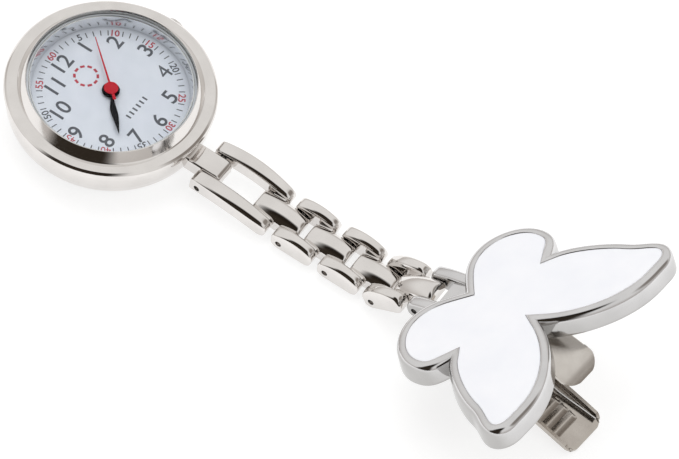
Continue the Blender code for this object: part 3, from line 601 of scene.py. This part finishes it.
# ------------------------------------------------------------------ dial printing
def glyph(text, height, x, y, turn, weight, reach=0.0):
    curve = bpy.data.curves.new("glyph", "FONT")
    curve.body = text
    curve.size = 1.0
    curve.offset = weight
    curve.resolution_u = 6
    obj = bpy.data.objects.new("glyph", curve)
    scene.collection.objects.link(obj)
    bpy.context.view_layer.update()
    mesh = bpy.data.meshes.new_from_object(obj.evaluated_get(bpy.context.evaluated_depsgraph_get()))
    bpy.data.objects.remove(obj, do_unlink=True)
    xs = [v.co.x for v in mesh.vertices]
    ys = [v.co.y for v in mesh.vertices]
    scale = height / (max(ys) - min(ys)) * MM
    mesh.transform(Matrix.Translation((-(min(xs) + max(xs)) / 2, -(min(ys) + max(ys)) / 2, 0)))
    # text reads along +Y with its top towards -X, then turned about its own middle
    reading = Matrix(((0, -1, 0, 0), (1, 0, 0, 0), (0, 0, 1, 0), (0, 0, 0, 1)))
    if reach:
        # moved out or in, until its farthest corner lies on one circle with the others
        way = Vector((x, y)).normalized()
        corners = [((reading @ v.co) * (scale / MM)).xy for v in mesh.vertices]
        low, high = 0.0, reach
        for _ in range(30):
            r = (low + high) / 2
            if max((way * r + c).length for c in corners) > reach:
                high = r
            else:
                low = r
        x, y = way * low
    mesh.transform(shift(x, y, DIAL_TOP + 0.012) @ Matrix.Rotation(-turn, 4, "Z") @ reading
                   @ Matrix.Diagonal((scale, scale, 1, 1)))
    return mesh


def bar(x, y, along, length, width):
    """A thin printed bar whose long side points along the angle."""
    bm = bmesh.new()
    bmesh.ops.create_cube(bm, size=1.0, matrix=shift(x, y, DIAL_TOP + 0.008) @ Matrix.Rotation(along, 4, "Z")
                          @ Matrix.Diagonal((length * MM, width * MM, 0.008 * MM, 1)))
    return to_mesh("bar", bm)


def clock(minute, radius):
    """Where a minute lies on the dial, and the angle that points out from the centre there."""
    a = math.radians(minute * 6 - 1.6)
    x, y = -math.cos(a) * radius, math.sin(a) * radius
    return x, y, math.atan2(y, x), a


def thick(mesh):
    """A flat print given a body, so that it is a closed solid."""
    obj = temp(mesh)
    mod = obj.modifiers.new("s", "SOLIDIFY")
    mod.thickness = 0.010 * MM
    mod.offset = 0.0
    bpy.context.view_layer.update()
    done = bpy.data.meshes.new_from_object(obj.evaluated_get(bpy.context.evaluated_depsgraph_get()))
    bpy.data.objects.remove(obj, do_unlink=True)
    return done


dark, red = [], []
for hour in range(1, 13):
    x, y, _, a = clock(hour * 5, 7.79)
    dark.append(glyph(str(hour), 2.25, x, y, 0.0, 0.0 if hour == 4 else 0.012, 8.88))
for minute in range(60):
    x, y, out, a = clock(minute, 9.45)
    if minute % 5:
        dark.append(bar(x, y, out, 0.82, 0.13))
    else:
        group = dark if minute % 15 == 5 else red
        group.append(glyph(str(minute or 60), 1.0, x, y, a, 0.0 if minute in (40, 45) else 0.014))
# a ring of short red dashes towards 12, and a row of short strokes towards 6
for k in range(10):
    a = 2 * math.pi * k / 10
    red.append(bar(-4.0 + 1.55 * math.cos(a), 1.55 * math.sin(a), a + math.pi / 2, 0.62, 0.34))
for k in range(6):
    dark.append(bar(4.2, (k - 2.5) * 0.74, 0.0, 0.78, 0.24))
piece("dial_print_dark", thick(merged("d", dark)), "watch_case", ink_dark, "dial_white")
piece("dial_print_red", thick(merged("r", red)), "watch_case", ink_red, "dial_white")


# ------------------------------------------------------------------ hands
def hand(name, outline, degrees, low, high, hub, hub_top, body, mat, slot, node_name, hole=0.0):
    turn = Matrix.Rotation(math.pi - math.radians(degrees), 4, "Z")
    blade = soft_plate(name, outline, low, high, 0.03, turn, 2)
    boss = lathe("boss", fillet([(0, hub_top), (hub, hub_top), (hub, low - 0.02), (0, low - 0.02)],
                                [0, 0.06, 0.02, 0], closed=False), 64)
    mesh = boolean(blade, [boss], "UNION")
    if hole:
        mesh = boolean(mesh, [cylinder("h", hole, (0, 0, low - 1), (0, 0, hub_top + 1), 48, 0.0)], "DIFFERENCE")
    return piece(name, mesh, body, mat, slot, node_name)


def leaf(length, wide, at, root, tip):
    """A leaf-shaped hand: narrow at the root, widest part-way, pointed at the tip."""
    line = smooth_line([(0.6, root), (at * 0.45, root), (at, wide), (length * 0.9, wide * 0.4), (length, tip)], 5)
    return [(x, -w) for x, w in line] + [(x, w) for x, w in reversed(line)]


hand("hour_blade", leaf(5.1, 0.40, 3.1, 0.20, 0.04), 228.9, 5.555, 5.685, 1.2, 5.70, "hour_pipe",
     hand_black, "hand_black", "hour_hand", 0.53)
hand("minute_blade", leaf(7.1, 0.36, 4.4, 0.17, 0.04), 226.2, 5.78, 5.91, 1.06, 5.93, "minute_pipe",
     hand_black, "hand_black", "minute_hand", 0.2)
sweep_line = [(-1.88, 0.21), (-1.0, 0.20), (0, 0.15), (4.0, 0.105), (8.4, 0.055)]
sweep = [(x, -w) for x, w in sweep_line] + [(x, w) for x, w in reversed(sweep_line)]
hand("second_blade", sweep, 40.0, 6.03, 6.12, 0.97, 6.16, "second_arbor", hand_red, "hand_red", "second_hand")

# ------------------------------------------------------------------ crown
ALONG_Y = Matrix.Rotation(-math.pi / 2, 4, "X")
flutes, around = 30, 30 * 8
loops = []
for radius, depth, y in ((1.22, 0, 14.15), (1.34, 0.3, 14.19), (1.45, 1, 14.30), (1.49, 1, 14.42),
                         (1.49, 1, 15.02), (1.45, 1, 15.14), (1.32, 0.4, 15.26), (1.12, 0, 15.32),
                         (0.8, 0, 15.345), (0.4, 0, 15.35)):
    loop = []
    for i in range(around):
        a = 2 * math.pi * i / around
        r = radius - depth * 0.06 * (1 + math.cos(a * flutes))
        loop.append((r * math.cos(a), r * math.sin(a), y))
    loops.append(loop)
crown = loft("crown", loops, shift(0, 0, STEM_Z) @ ALONG_Y)
crown = boolean(crown, [cylinder("h", 0.38, (0, 13, STEM_Z), (0, 14.9, STEM_Z), 32, 0.0)], "DIFFERENCE")
piece("crown_knob", crown, "crown_stem", polished, "polished_nickel", "crown")


# ------------------------------------------------------------------ chain
def corner(reach, radius):
    """How far a rounded corner falls away, this far in from the end."""
    d = max(0.0, radius - reach)
    return radius - math.sqrt(max(0.0, radius ** 2 - d ** 2))


def lobe(x0, x1, y0, y1, frame, arch=0.0, under=0.0, bow=0.0, heel=1.25, brow=0.4, nose=0.85,
         dome=(0.16, 0.42), power=4.0, mirror=False, edge=0.24):
    """A cushion lobe: arched top and bottom, round corners at its ends, a bowed outer side and a
    top that is domed across, more so towards its far end."""
    bm = rounded_box((x0, y0, -LINK_HALF), (x1, y1, LINK_HALF), edge, (30, 14, 6), 5)
    middle, half = (y0 + y1) / 2, (y1 - y0) / 2
    for v in bm.verts:
        x, y, z = v.co
        t = (x - x0) / (x1 - x0)
        rise = 1 - (2 * t - 1) ** 2
        top = LINK_HALF + arch * rise - corner(x - x0, brow) - corner(x1 - x, nose)
        bottom = -LINK_HALF + under * rise + corner(x - x0, heel) + corner(x1 - x, 1.25)
        share = (z + LINK_HALF) / (2 * LINK_HALF)
        across = (y - middle) / half
        fall = min(dome[0] + (dome[1] - dome[0]) * t, 0.55 * (top - bottom))
        z = bottom + (top - bottom) * share - fall * abs(across) ** power * max(0.0, 2 * share - 1)
        if bow and across > 0:
            y += bow * rise * across
        v.co = Vector((x, -y if mirror else y, z)) * MM
    return to_mesh("lobe", bm, frame)


def box_mesh(low, high, frame):
    bm = bmesh.new()
    low, high = Vector(low) * MM, Vector(high) * MM
    bmesh.ops.create_cube(bm, size=1.0, matrix=Matrix.Translation((low + high) / 2)
                          @ Matrix.Diagonal((*(high - low), 1.0)))
    return to_mesh("box", bm, frame)


def hole(frame, x, radius=0.45):
    a, b = frame @ Vector((x * MM, -0.006, 0)), frame @ Vector((x * MM, 0.006, 0))
    return cylinder("h", radius, a / MM, b / MM, 32, 0.0)


def chain_link(name, pin, pitch_angle, length, body, node_name, bars=False):
    frame = level(pin[0], pin[1], pitch_angle)
    if bars:
        side = length - 1.3 - 0.95
        style = dict(arch=0.9, under=0.9, bow=0.36, heel=0.4, brow=0.45, dome=(0.14, 0.60), power=3.4)
        web = box_mesh((8.5, -2.5, -0.55), (10.3, 2.5, 0.8), frame)
    else:
        side = 5.1
        style = dict(arch=0.84, brow=0.6, dome=(0.22, 0.78), power=3.0, edge=0.3)
        web = box_mesh((2.8, -2.5, -0.8), (4.7, 2.5, 0.8), frame)
    near = lobe(-1.3, side, SIDE_IN, LINK_OUT, frame, mirror=True, **style)
    far = lobe(-1.3, side, SIDE_IN, LINK_OUT, frame, **style)
    start = length + 1.45 - (7.3 if bars else 6.4)
    mid = lobe(start, length + 1.45, -MID_OUT, MID_OUT, frame, arch=0.44, nose=0.5, dome=(0.92, 1.02),
               power=2.3, edge=0.3)
    mesh = boolean(near, [far, web, mid], "UNION")
    mesh = boolean(mesh, [hole(frame, 0.0), hole(frame, length)], "DIFFERENCE")
    return piece(name, mesh, body, polished, "polished_nickel", node_name, sharp=38)


chain_link("long_link_casting", H0, DROP, LONG_PITCH, "long_link_body", "long_link", bars=True)
chain_link("link_1_casting", H1, 0.0, PITCH, "link_1_body", "link_1")
chain_link("link_2_casting", H2, 0.0, PITCH, "link_2_body", "link_2")
chain_link("link_3_casting", H3, RISE, PITCH, "link_3_body", "link_3")
for i, (pin, body) in enumerate(zip((H0, H1, H2, H3, H4), (
        "long_link_body", "link_1_body", "link_2_body", "link_3_body", "brooch"))):
    piece(f"pin_{i}", cylinder("pin", 0.40, (pin[0], -2.9, pin[1]), (pin[0], 2.9, pin[1]), 32),
          body, steel, "brushed_steel", f"link_pin_{i}")

# ------------------------------------------------------------------ brooch
WING = (
    ((7.0, 0.0), (5.1, 2.2), (3.2, 4.0), (3.2, 7.3)),
    ((3.2, 7.3), (3.2, 10.5), (5.7, 13.8), (8.8, 13.8)),
    ((8.8, 13.8), (11.4, 13.8), (11.6, 12.2), (12.6, 10.3)),
    ((12.6, 10.3), (13.4, 12.4), (17.5, 15.4), (20.6, 16.5)),
    ((20.6, 16.5), (22.6, 17.2), (23.4, 18.4), (25.0, 18.6)),
    ((25.0, 18.6), (26.2, 18.7), (27.3, 17.6), (27.3, 15.7)),
    ((27.3, 15.7), (27.3, 13.6), (27.5, 11.8), (26.4, 8.9)),
    ((26.4, 8.9), (25.2, 5.7), (22.4, 2.0), (18.5, 0.0)),
)
half = []
for p0, p1, p2, p3 in WING:
    for i in range(14):
        t = i / 14
        w = ((1 - t) ** 3, 3 * (1 - t) ** 2 * t, 3 * (1 - t) * t * t, t ** 3)
        half.append(tuple(sum(a * b[k] for a, b in zip(w, (p0, p1, p2, p3))) for k in (0, 1)))
half.append((18.5, 0.0))
NOTCH = (12.6, 10.3)          # kept free of near points, so that the outline can be moved out there
half = [p for p in half if p == NOTCH or math.dist(p, NOTCH) > 1.05]
outline = half + [(x, -y) for x, y in half[-2:0:-1]]
plate_frame = level(H4[0], H4[1], BROOCH, YAW)
RIM_W, RIM_TOP, RIM_BOTTOM = 0.95, 2.95, -0.37


def ring(distance, height):
    return [(x, y, height) for x, y in (inset(outline, distance) if abs(distance) > 1e-9 else outline)]


rim_levels = [(1.05, 1.10), (1.05, -0.22), (1.0, -0.33), (0.85, RIM_BOTTOM), (-0.20, RIM_BOTTOM),
              (-0.30, -0.335), (-0.37, -0.25), (-0.405, -0.10), (-0.41, 0.1), (-0.37, 1.2), (-0.33, 1.9),
              (-0.29, 2.2), (-0.21, 2.48), (-0.09, 2.70), (0.06, 2.84), (0.24, 2.92), (0.45, RIM_TOP),
              (0.68, RIM_TOP), (0.82, 2.93), (0.91, 2.87), (0.95, 2.78), (0.95, 2.05)]
frame_mesh = loft("frame", [ring(d, h) for d, h in rim_levels], plate_frame)
lug_frame = level(H4[0], H4[1], BROOCH)
parts = [lobe(-1.15, 5.9, SIDE_IN, LINK_OUT, lug_frame, arch=0.35, brow=0.9, dome=(0.35, 0.7), power=2.7, mirror=m) for m in (False, True)]
parts.append(box_mesh((2.8, -2.5, -0.25), (8.4, 2.5, 0.8), lug_frame))
for x in (9.6, 12.4):
    parts.append(cylinder("boss", 1.2, plate_frame @ Vector((x * MM, 0, -0.40 * MM)) / MM,
                          plate_frame @ Vector((x * MM, 0, 1.5 * MM)) / MM, 48, 0.08))
frame_mesh = boolean(frame_mesh, parts, "UNION")
frame_mesh = boolean(frame_mesh, [hole(lug_frame, 0.0)] + [
    cylinder("socket", 0.6, plate_frame @ Vector((x * MM, 0, -1.0 * MM)) / MM,
             plate_frame @ Vector((x * MM, 0, 0.5 * MM)) / MM, 32, 0.0) for x in (9.6, 12.4)], "DIFFERENCE")
piece("butterfly_casting", frame_mesh, "brooch", rim_metal, "polished_nickel", "butterfly_frame", sharp=34)

enamel_levels = [(0.97, 2.09), (0.97, 2.80), (0.985, 2.825), (1.02, 2.835), (1.15, 2.83), (1.45, 2.84)]
enamel_mesh = loft("enamel", [ring(d, h) for d, h in enamel_levels], plate_frame)
piece("enamel_fill", enamel_mesh, "brooch", enamel, "white_enamel", "enamel_inlay", sharp=40)

# ------------------------------------------------------------------ clip
clip_frame = level(H4[0], 0.0, 0.0, YAW)     # local x is s, y across, z is height
PIN_S, PIN_Z = 14.6, 7.2


def sheet_metal(name, line, section, thickness, matrix, relief=None):
    """A stamped sheet: section(s) gives the (across, up) line of the sheet's middle at each station
    of the line, and relief(s, across) pushes it up. Its edges are eased."""
    bm = bmesh.new()
    rows = []
    for i, (s, z) in enumerate(line):
        a, b = line[max(i - 1, 0)], line[min(i + 1, len(line) - 1)]
        d = Vector((b[0] - a[0], b[1] - a[1])).normalized()
        normal = Vector((-d.y, d.x))
        row = []
        for across, rise in section(s, i / (len(line) - 1)):
            lift = rise + (relief(s, across) if relief and abs(rise) < 0.05 else 0.0)
            row.append(bm.verts.new(Vector((s + normal.x * lift, across, z + normal.y * lift)) * MM))
        rows.append(row)
    for r0, r1 in zip(rows, rows[1:]):
        for j in range(len(r0) - 1):
            bm.faces.new((r0[j], r1[j], r1[j + 1], r0[j + 1]))
    bmesh.ops.recalc_face_normals(bm, faces=bm.faces)
    mesh = bpy.data.meshes.new(name)
    bm.to_mesh(mesh)
    bm.free()
    obj = temp(mesh)
    solid = obj.modifiers.new("s", "SOLIDIFY")
    solid.thickness = thickness * MM
    solid.offset = 0.0
    ease_edges = obj.modifiers.new("e", "BEVEL")
    ease_edges.width = 0.10 * MM
    ease_edges.segments = 2
    ease_edges.limit_method = "ANGLE"
    ease_edges.angle_limit = math.radians(60)
    bpy.context.view_layer.update()
    done = bpy.data.meshes.new_from_object(obj.evaluated_get(bpy.context.evaluated_depsgraph_get()))
    bpy.data.objects.remove(obj, do_unlink=True)
    done.transform(matrix)
    return done


def tip_width(s, end, corner, full):
    """Half the width near a rounded tip."""
    d = end - s
    if d >= corner:
        return full
    return full - corner + math.sqrt(max(0.0, corner ** 2 - (corner - d) ** 2))


upper_line = smooth_line([(6.35, 5.98), (6.28, 6.55), (6.75, 7.22), (8.0, 7.92), (11.0, 9.26), (14.0, 10.6),
                          (15.9, 11.42), (17.3, 11.78), (19.5, 11.82), (21.6, 11.72), (23.0, 11.42),
                          (24.0, 11.05), (24.55, 10.8)], 8)
ear_floor = [(6.9, 7.0), (7.4, 7.15), (11.2, 8.9), (11.9, 9.2), (12.6, 8.7), (13.3, 7.3), (13.45, 6.8), (13.9, 6.25), (14.6, 6.02),
             (15.3, 6.25), (15.75, 6.75), (16.2, 7.0), (18.5, 7.8), (20.4, 8.7), (21.0, 9.4), (21.4, 10.4), (21.7, 11.7)]
FLANGE_Y = 2.45


def upper_section(s, t):
    wide = FLANGE_Y + 0.75 * ease((s - 16.2) / 1.6)
    half_w = min(wide, tip_width(s, 24.6, 2.7, wide + 0.2))
    top = between(upper_line[10:], s)
    drop = max(0.0, top - between(ear_floor, s)) if 6.9 < s < 21.7 else 0.0
    bend = 0.45
    row = []
    if drop > 0.06:
        for k in range(6):
            row.append((-half_w, -(drop - (drop - min(bend, drop)) * k / 5)))
        for k in range(1, 5):
            a = math.pi / 2 * k / 4
            row.append((-half_w + bend * (1 - math.cos(a)), -min(bend, drop) * (1 - math.sin(a))))
    else:
        row += [(-half_w - 0.0 + 0.02 * k, 0.0) for k in range(10)]
    flat = half_w - max(bend, 0.2)
    row += [(-flat + 2 * flat * k / 10, 0.0) for k in range(1, 10)]
    row += [(-y, z) for y, z in reversed(row[:10])]
    return row


upper = sheet_metal("upper", upper_line, upper_section, 0.42, clip_frame)
piece("clip_upper_plate", upper, "brooch", lit_plate_nickel, "polished_nickel", "clip_upper_jaw", sharp=40)

lower_line = smooth_line([(6.35, 5.65), (6.45, 4.6), (7.0, 2.9), (8.2, 1.25), (9.6, 0.5), (11.0, 0.32),
                          (13.0, 0.65), (15.5, 1.35), (18.0, 1.8), (20.0, 1.75), (22.0, 1.42),
                          (24.7, 0.87), (26.6, 0.52), (27.5, 0.36)], 8)
wall_top = [(11.9, 0.4), (12.3, 1.2), (12.7, 3.2), (13.3, 6.3), (13.45, 7.2), (13.6, 7.75), (14.0, 8.2), (14.6, 8.36),
            (15.2, 8.2), (15.6, 7.75), (15.75, 7.2), (15.9, 6.0), (16.3, 4.9), (17.3, 3.55), (18.6, 2.95), (20.0, 2.75),
            (22.0, 2.4), (24.7, 1.85), (26.2, 1.5), (26.8, 0.9), (27.1, 0.5)]
WALL_Y = 3.0


def drift(s):
    """How far the lever is bent towards -Y by each station."""
    return -1.2 * ease((s - 13.8) / 7.0)


def lower_section(s, t):
    wide = WALL_Y + 0.3 * ease((s - 15.6) / 5.4)
    half_w = min(wide, tip_width(s, 27.53, 1.5, wide + 0.05))
    base = between(lower_line[30:], s)
    rise = max(0.0, between(wall_top, s) - base) if 11.9 < s < 27.1 else 0.0
    bend = 0.35
    row = []
    if rise > 0.06:
        for k in range(6):
            row.append((-half_w, rise - (rise - min(bend, rise)) * k / 5))
        for k in range(1, 5):
            a = math.pi / 2 * k / 4
            row.append((-half_w + bend * (1 - math.cos(a)), min(bend, rise) * (1 - math.sin(a))))
    else:
        row += [(-half_w + 0.02 * k, 0.0) for k in range(10)]
    flat = half_w - bend
    row += [(-flat + 2 * flat * k / 24, 0.0) for k in range(1, 24)]
    row += [(-y, z) for y, z in reversed(row[:10])]
    return [(y + drift(s), z) for y, z in row]


def ribs(s, across):
    """Three thumb ribs across the lever, stopping short of where the spring's leg lies."""
    lift = 0.0
    across -= drift(s)
    for at in (21.25, 22.65, 24.05):
        lift += 0.24 * max(0.0, 1 - abs(s - at) / 0.68) ** 0.5 * ease((2.6 - abs(across + 0.75)) / 0.35 + 0.2)
    if across > 1.2:
        lift = 0.0
    return lift


fine_lower = []
for a, b in zip(lower_line, lower_line[1:]):
    steps = 3 if a[0] > 20.5 else 1
    fine_lower += [(a[0] + (b[0] - a[0]) * k / steps, a[1] + (b[1] - a[1]) * k / steps) for k in range(steps)]
fine_lower.append(lower_line[-1])
lower = sheet_metal("lower", fine_lower, lower_section, 0.46, clip_frame, ribs)
piece("clip_lever_plate", lower, "clip_lever", stamped, "polished_nickel", "clip_lower_jaw", sharp=40)


def clip_point(s, z, y):
    return (clip_frame @ Vector((s * MM, y * MM, z * MM))) / MM


pin_mesh = cylinder("pin", 0.40, clip_point(PIN_S, PIN_Z, -3.45), clip_point(PIN_S, PIN_Z, 3.45), 32)
heads = [lathe("head", [(0, 0.0), (0.5, 0.0), (0.62, 0.08), (0.62, 0.16), (0.45, 0.28), (0, 0.32)], 32,
               Matrix.Translation(clip_point(PIN_S, PIN_Z, y) * MM) @ Matrix.Rotation(YAW, 4, "Z")
               @ Matrix.Rotation(-math.pi / 2 * s, 4, "X"))
         for y, s in ((3.27, 1), (-3.27, -1))]
piece("clip_rivet_pin", boolean(pin_mesh, heads, "UNION"), "brooch", steel, "brushed_steel", "clip_pin")
for i, x in enumerate((9.6, 12.4)):
    rivet = lathe("rivet", fillet([(0, 0.4), (0.54, 0.4), (0.54, -1.0), (0.95, -1.0), (0.92, -1.16), (0.6, -1.36), (0, -1.42)],
                                  [0, 0, 0, 0.05, 0.1, 0.2, 0], closed=False), 48, plate_frame @ shift(x, 0, 0))
    piece(f"rivet_{i + 1}", rivet, "brooch", steel, "brushed_steel", f"clip_rivet_{i + 1}")

START, END, COIL_Y, COIL_R = 126.0, 236.0 + 360.0 * 3, (-1.45, 1.5), 0.95


def wire(name, path, body, *nodes):
    """A round spring wire along a path."""
    curve = bpy.data.curves.new("wire", "CURVE")
    curve.dimensions = "3D"
    curve.bevel_depth = 0.22 * MM
    curve.bevel_resolution = 6
    curve.use_fill_caps = True
    spline = curve.splines.new("POLY")
    spline.points.add(len(path) - 1)
    for point, co in zip(spline.points, path):
        point.co = (*(co * MM), 1.0)
    obj = temp(curve)
    bpy.context.view_layer.update()
    mesh = bpy.data.meshes.new_from_object(obj.evaluated_get(bpy.context.evaluated_depsgraph_get()))
    bpy.data.objects.remove(obj, do_unlink=True)
    weld = bmesh.new()
    weld.from_mesh(mesh)
    return piece(name, to_mesh("wire", weld), body, spring_steel, "brushed_steel", *nodes, sharp=60)


coil = []
turns = 72
for i in range(turns + 1):
    f = i / turns
    a = math.radians(START + (END - START) * f)
    coil.append(clip_point(PIN_S + COIL_R * math.cos(a), PIN_Z + COIL_R * math.sin(a),
                           COIL_Y[0] + (COIL_Y[1] - COIL_Y[0]) * f))
# the upper leg stays under the plate while the coil and the lower leg turn with the lever
wire("spring_upper_leg", [clip_point(s, z, COIL_Y[0]) for s, z in ((20.0, 11.2), (18.5, 10.1), (17.0, 9.2))] + coil[:1],
     "brooch")
wire("spring_wire", coil + [clip_point(s, z, y) for s, z, y in (
    (16.0, 4.95, 1.2), (18.0, 3.7, 0.78), (20.0, 2.72, 0.62), (21.2, 2.3, 0.72), (22.5, 2.0, 0.9),
    (24.6, 1.56, 1.18), (26.7, 1.14, 1.4))], "clip_lever", "clip_spring")

# ------------------------------------------------------------------ carried-over nodes
carried = {
    "back_gasket": rubber, "movement_ring": plastic, "movement_plate": brass, "train_bridge": steel,
    "bridge_screw_1": steel, "bridge_screw_2": steel, "bridge_screw_3": steel, "battery": steel,
    "battery_clip": brass, "coil": copper, "stator": steel, "circuit_board": green, "rotor": steel,
    "intermediate_wheel": brass, "third_wheel": brass, "second_wheel": brass, "centre_wheel": brass,
    "minute_wheel": brass, "hour_wheel": brass, "setting_lever": steel, "stem": steel, "crown_gasket": rubber,
}
for name, mat in carried.items():
    mesh = frame["nodes"][name].data
    mesh.materials.clear()
    mesh.materials.append(mat)

# ------------------------------------------------------------------ floor, world and lights
floor_bm = bmesh.new()
bmesh.ops.create_grid(floor_bm, x_segments=2, y_segments=2, size=1.6)
floor = bpy.data.objects.new("floor", to_mesh("floor", floor_bm, shift(35, 0, -0.02)))
scene.collection.objects.link(floor)
floor_mat = paint("floor_white", (0.35, 0.35, 0.35), (0.37, 0.37, 0.37), (0.75, 0.9), specular=0.1)
floor_shader = floor_mat.node_tree.nodes["Principled BSDF"]
floor_shader.inputs["Emission Color"].default_value = (1, 1, 1, 1)
floor_shader.inputs["Emission Strength"].default_value = 0.75      # a light table
floor.data.materials.append(floor_mat)

world = bpy.data.worlds.new("studio")
scene.world = world
world.use_nodes = True
wn, wl = world.node_tree.nodes, world.node_tree.links
background = wn["Background"]
coord = wn.new("ShaderNodeTexCoord")


def patch(direction, inner, outer, previous, colour):
    """A soft round card in the surroundings: its colour inside one angle, fading out by another."""
    dot = wn.new("ShaderNodeVectorMath")
    dot.operation = "DOT_PRODUCT"
    dot.inputs[1].default_value = Vector(direction).normalized()
    wl.new(coord.outputs["Generated"], dot.inputs[0])
    m = wn.new("ShaderNodeMapRange")
    m.interpolation_type = "SMOOTHSTEP"
    m.inputs["From Min"].default_value = math.cos(math.radians(outer))
    m.inputs["From Max"].default_value = math.cos(math.radians(inner))
    wl.new(dot.outputs["Value"], m.inputs["Value"])
    mix = wn.new("ShaderNodeMix")
    mix.data_type = "RGBA"
    wl.new(m.outputs["Result"], mix.inputs["Factor"])
    if isinstance(previous, tuple):
        mix.inputs["A"].default_value = previous
    else:
        wl.new(previous, mix.inputs["A"])
    mix.inputs["B"].default_value = (*colour, 1)
    return mix.outputs["Result"]


def toward(azimuth, elevation):
    """A direction, azimuth measured from +X towards +Y."""
    a, e = math.radians(azimuth), math.radians(elevation)
    return (math.cos(e) * math.cos(a), math.cos(e) * math.sin(a), math.sin(e))


def band(low, high, previous, colour):
    """A colour along the horizon, fading out between two heights of the unit sphere."""
    split = wn.new("ShaderNodeSeparateXYZ")
    wl.new(coord.outputs["Generated"], split.inputs["Vector"])
    m = wn.new("ShaderNodeMapRange")
    m.interpolation_type = "SMOOTHSTEP"
    m.inputs["From Min"].default_value = low
    m.inputs["From Max"].default_value = high
    wl.new(split.outputs["Z"], m.inputs["Value"])
    mix = wn.new("ShaderNodeMix")
    mix.data_type = "RGBA"
    wl.new(m.outputs["Result"], mix.inputs["Factor"])
    mix.inputs["A"].default_value = (*colour, 1)
    mix.inputs["B"].default_value = previous
    return mix.outputs["Result"]


sky = band(0.02, 0.45, (0.92, 0.91, 0.895, 1), (0.62, 0.59, 0.565))
sky = patch(toward(30, 34), 10, 30, sky, (0.30, 0.27, 0.245))         # a grey card on the right
sky = patch(toward(-80, 52), 18, 34, sky, (0.020, 0.015, 0.011))      # the dark room behind the camera
sky = patch(toward(-85, 17), 25, 42, sky, (0.035, 0.027, 0.020))
wl.new(sky, background.inputs["Color"])
background.inputs["Strength"].default_value = 0.95


def area(name, position, size, power, colour=(1, 1, 1)):
    light = bpy.data.lights.new(name, "AREA")
    light.shape = "RECTANGLE"
    light.size, light.size_y = size
    light.energy = power
    light.color = colour
    obj = bpy.data.objects.new(name, light)
    scene.collection.objects.link(obj)
    obj.location = position
    aim = Vector((0.035, 0, 0)) - Vector(position)
    obj.rotation_euler = aim.to_track_quat("-Z", "Y").to_euler()
    return obj


for obj in (area("key", (-0.45, 0.45, 0.95), (1.1, 1.1), 6.0), area("fill", (0.75, 0.15, 0.85), (0.8, 0.8), 1.8)):
    obj.visible_glossy = False
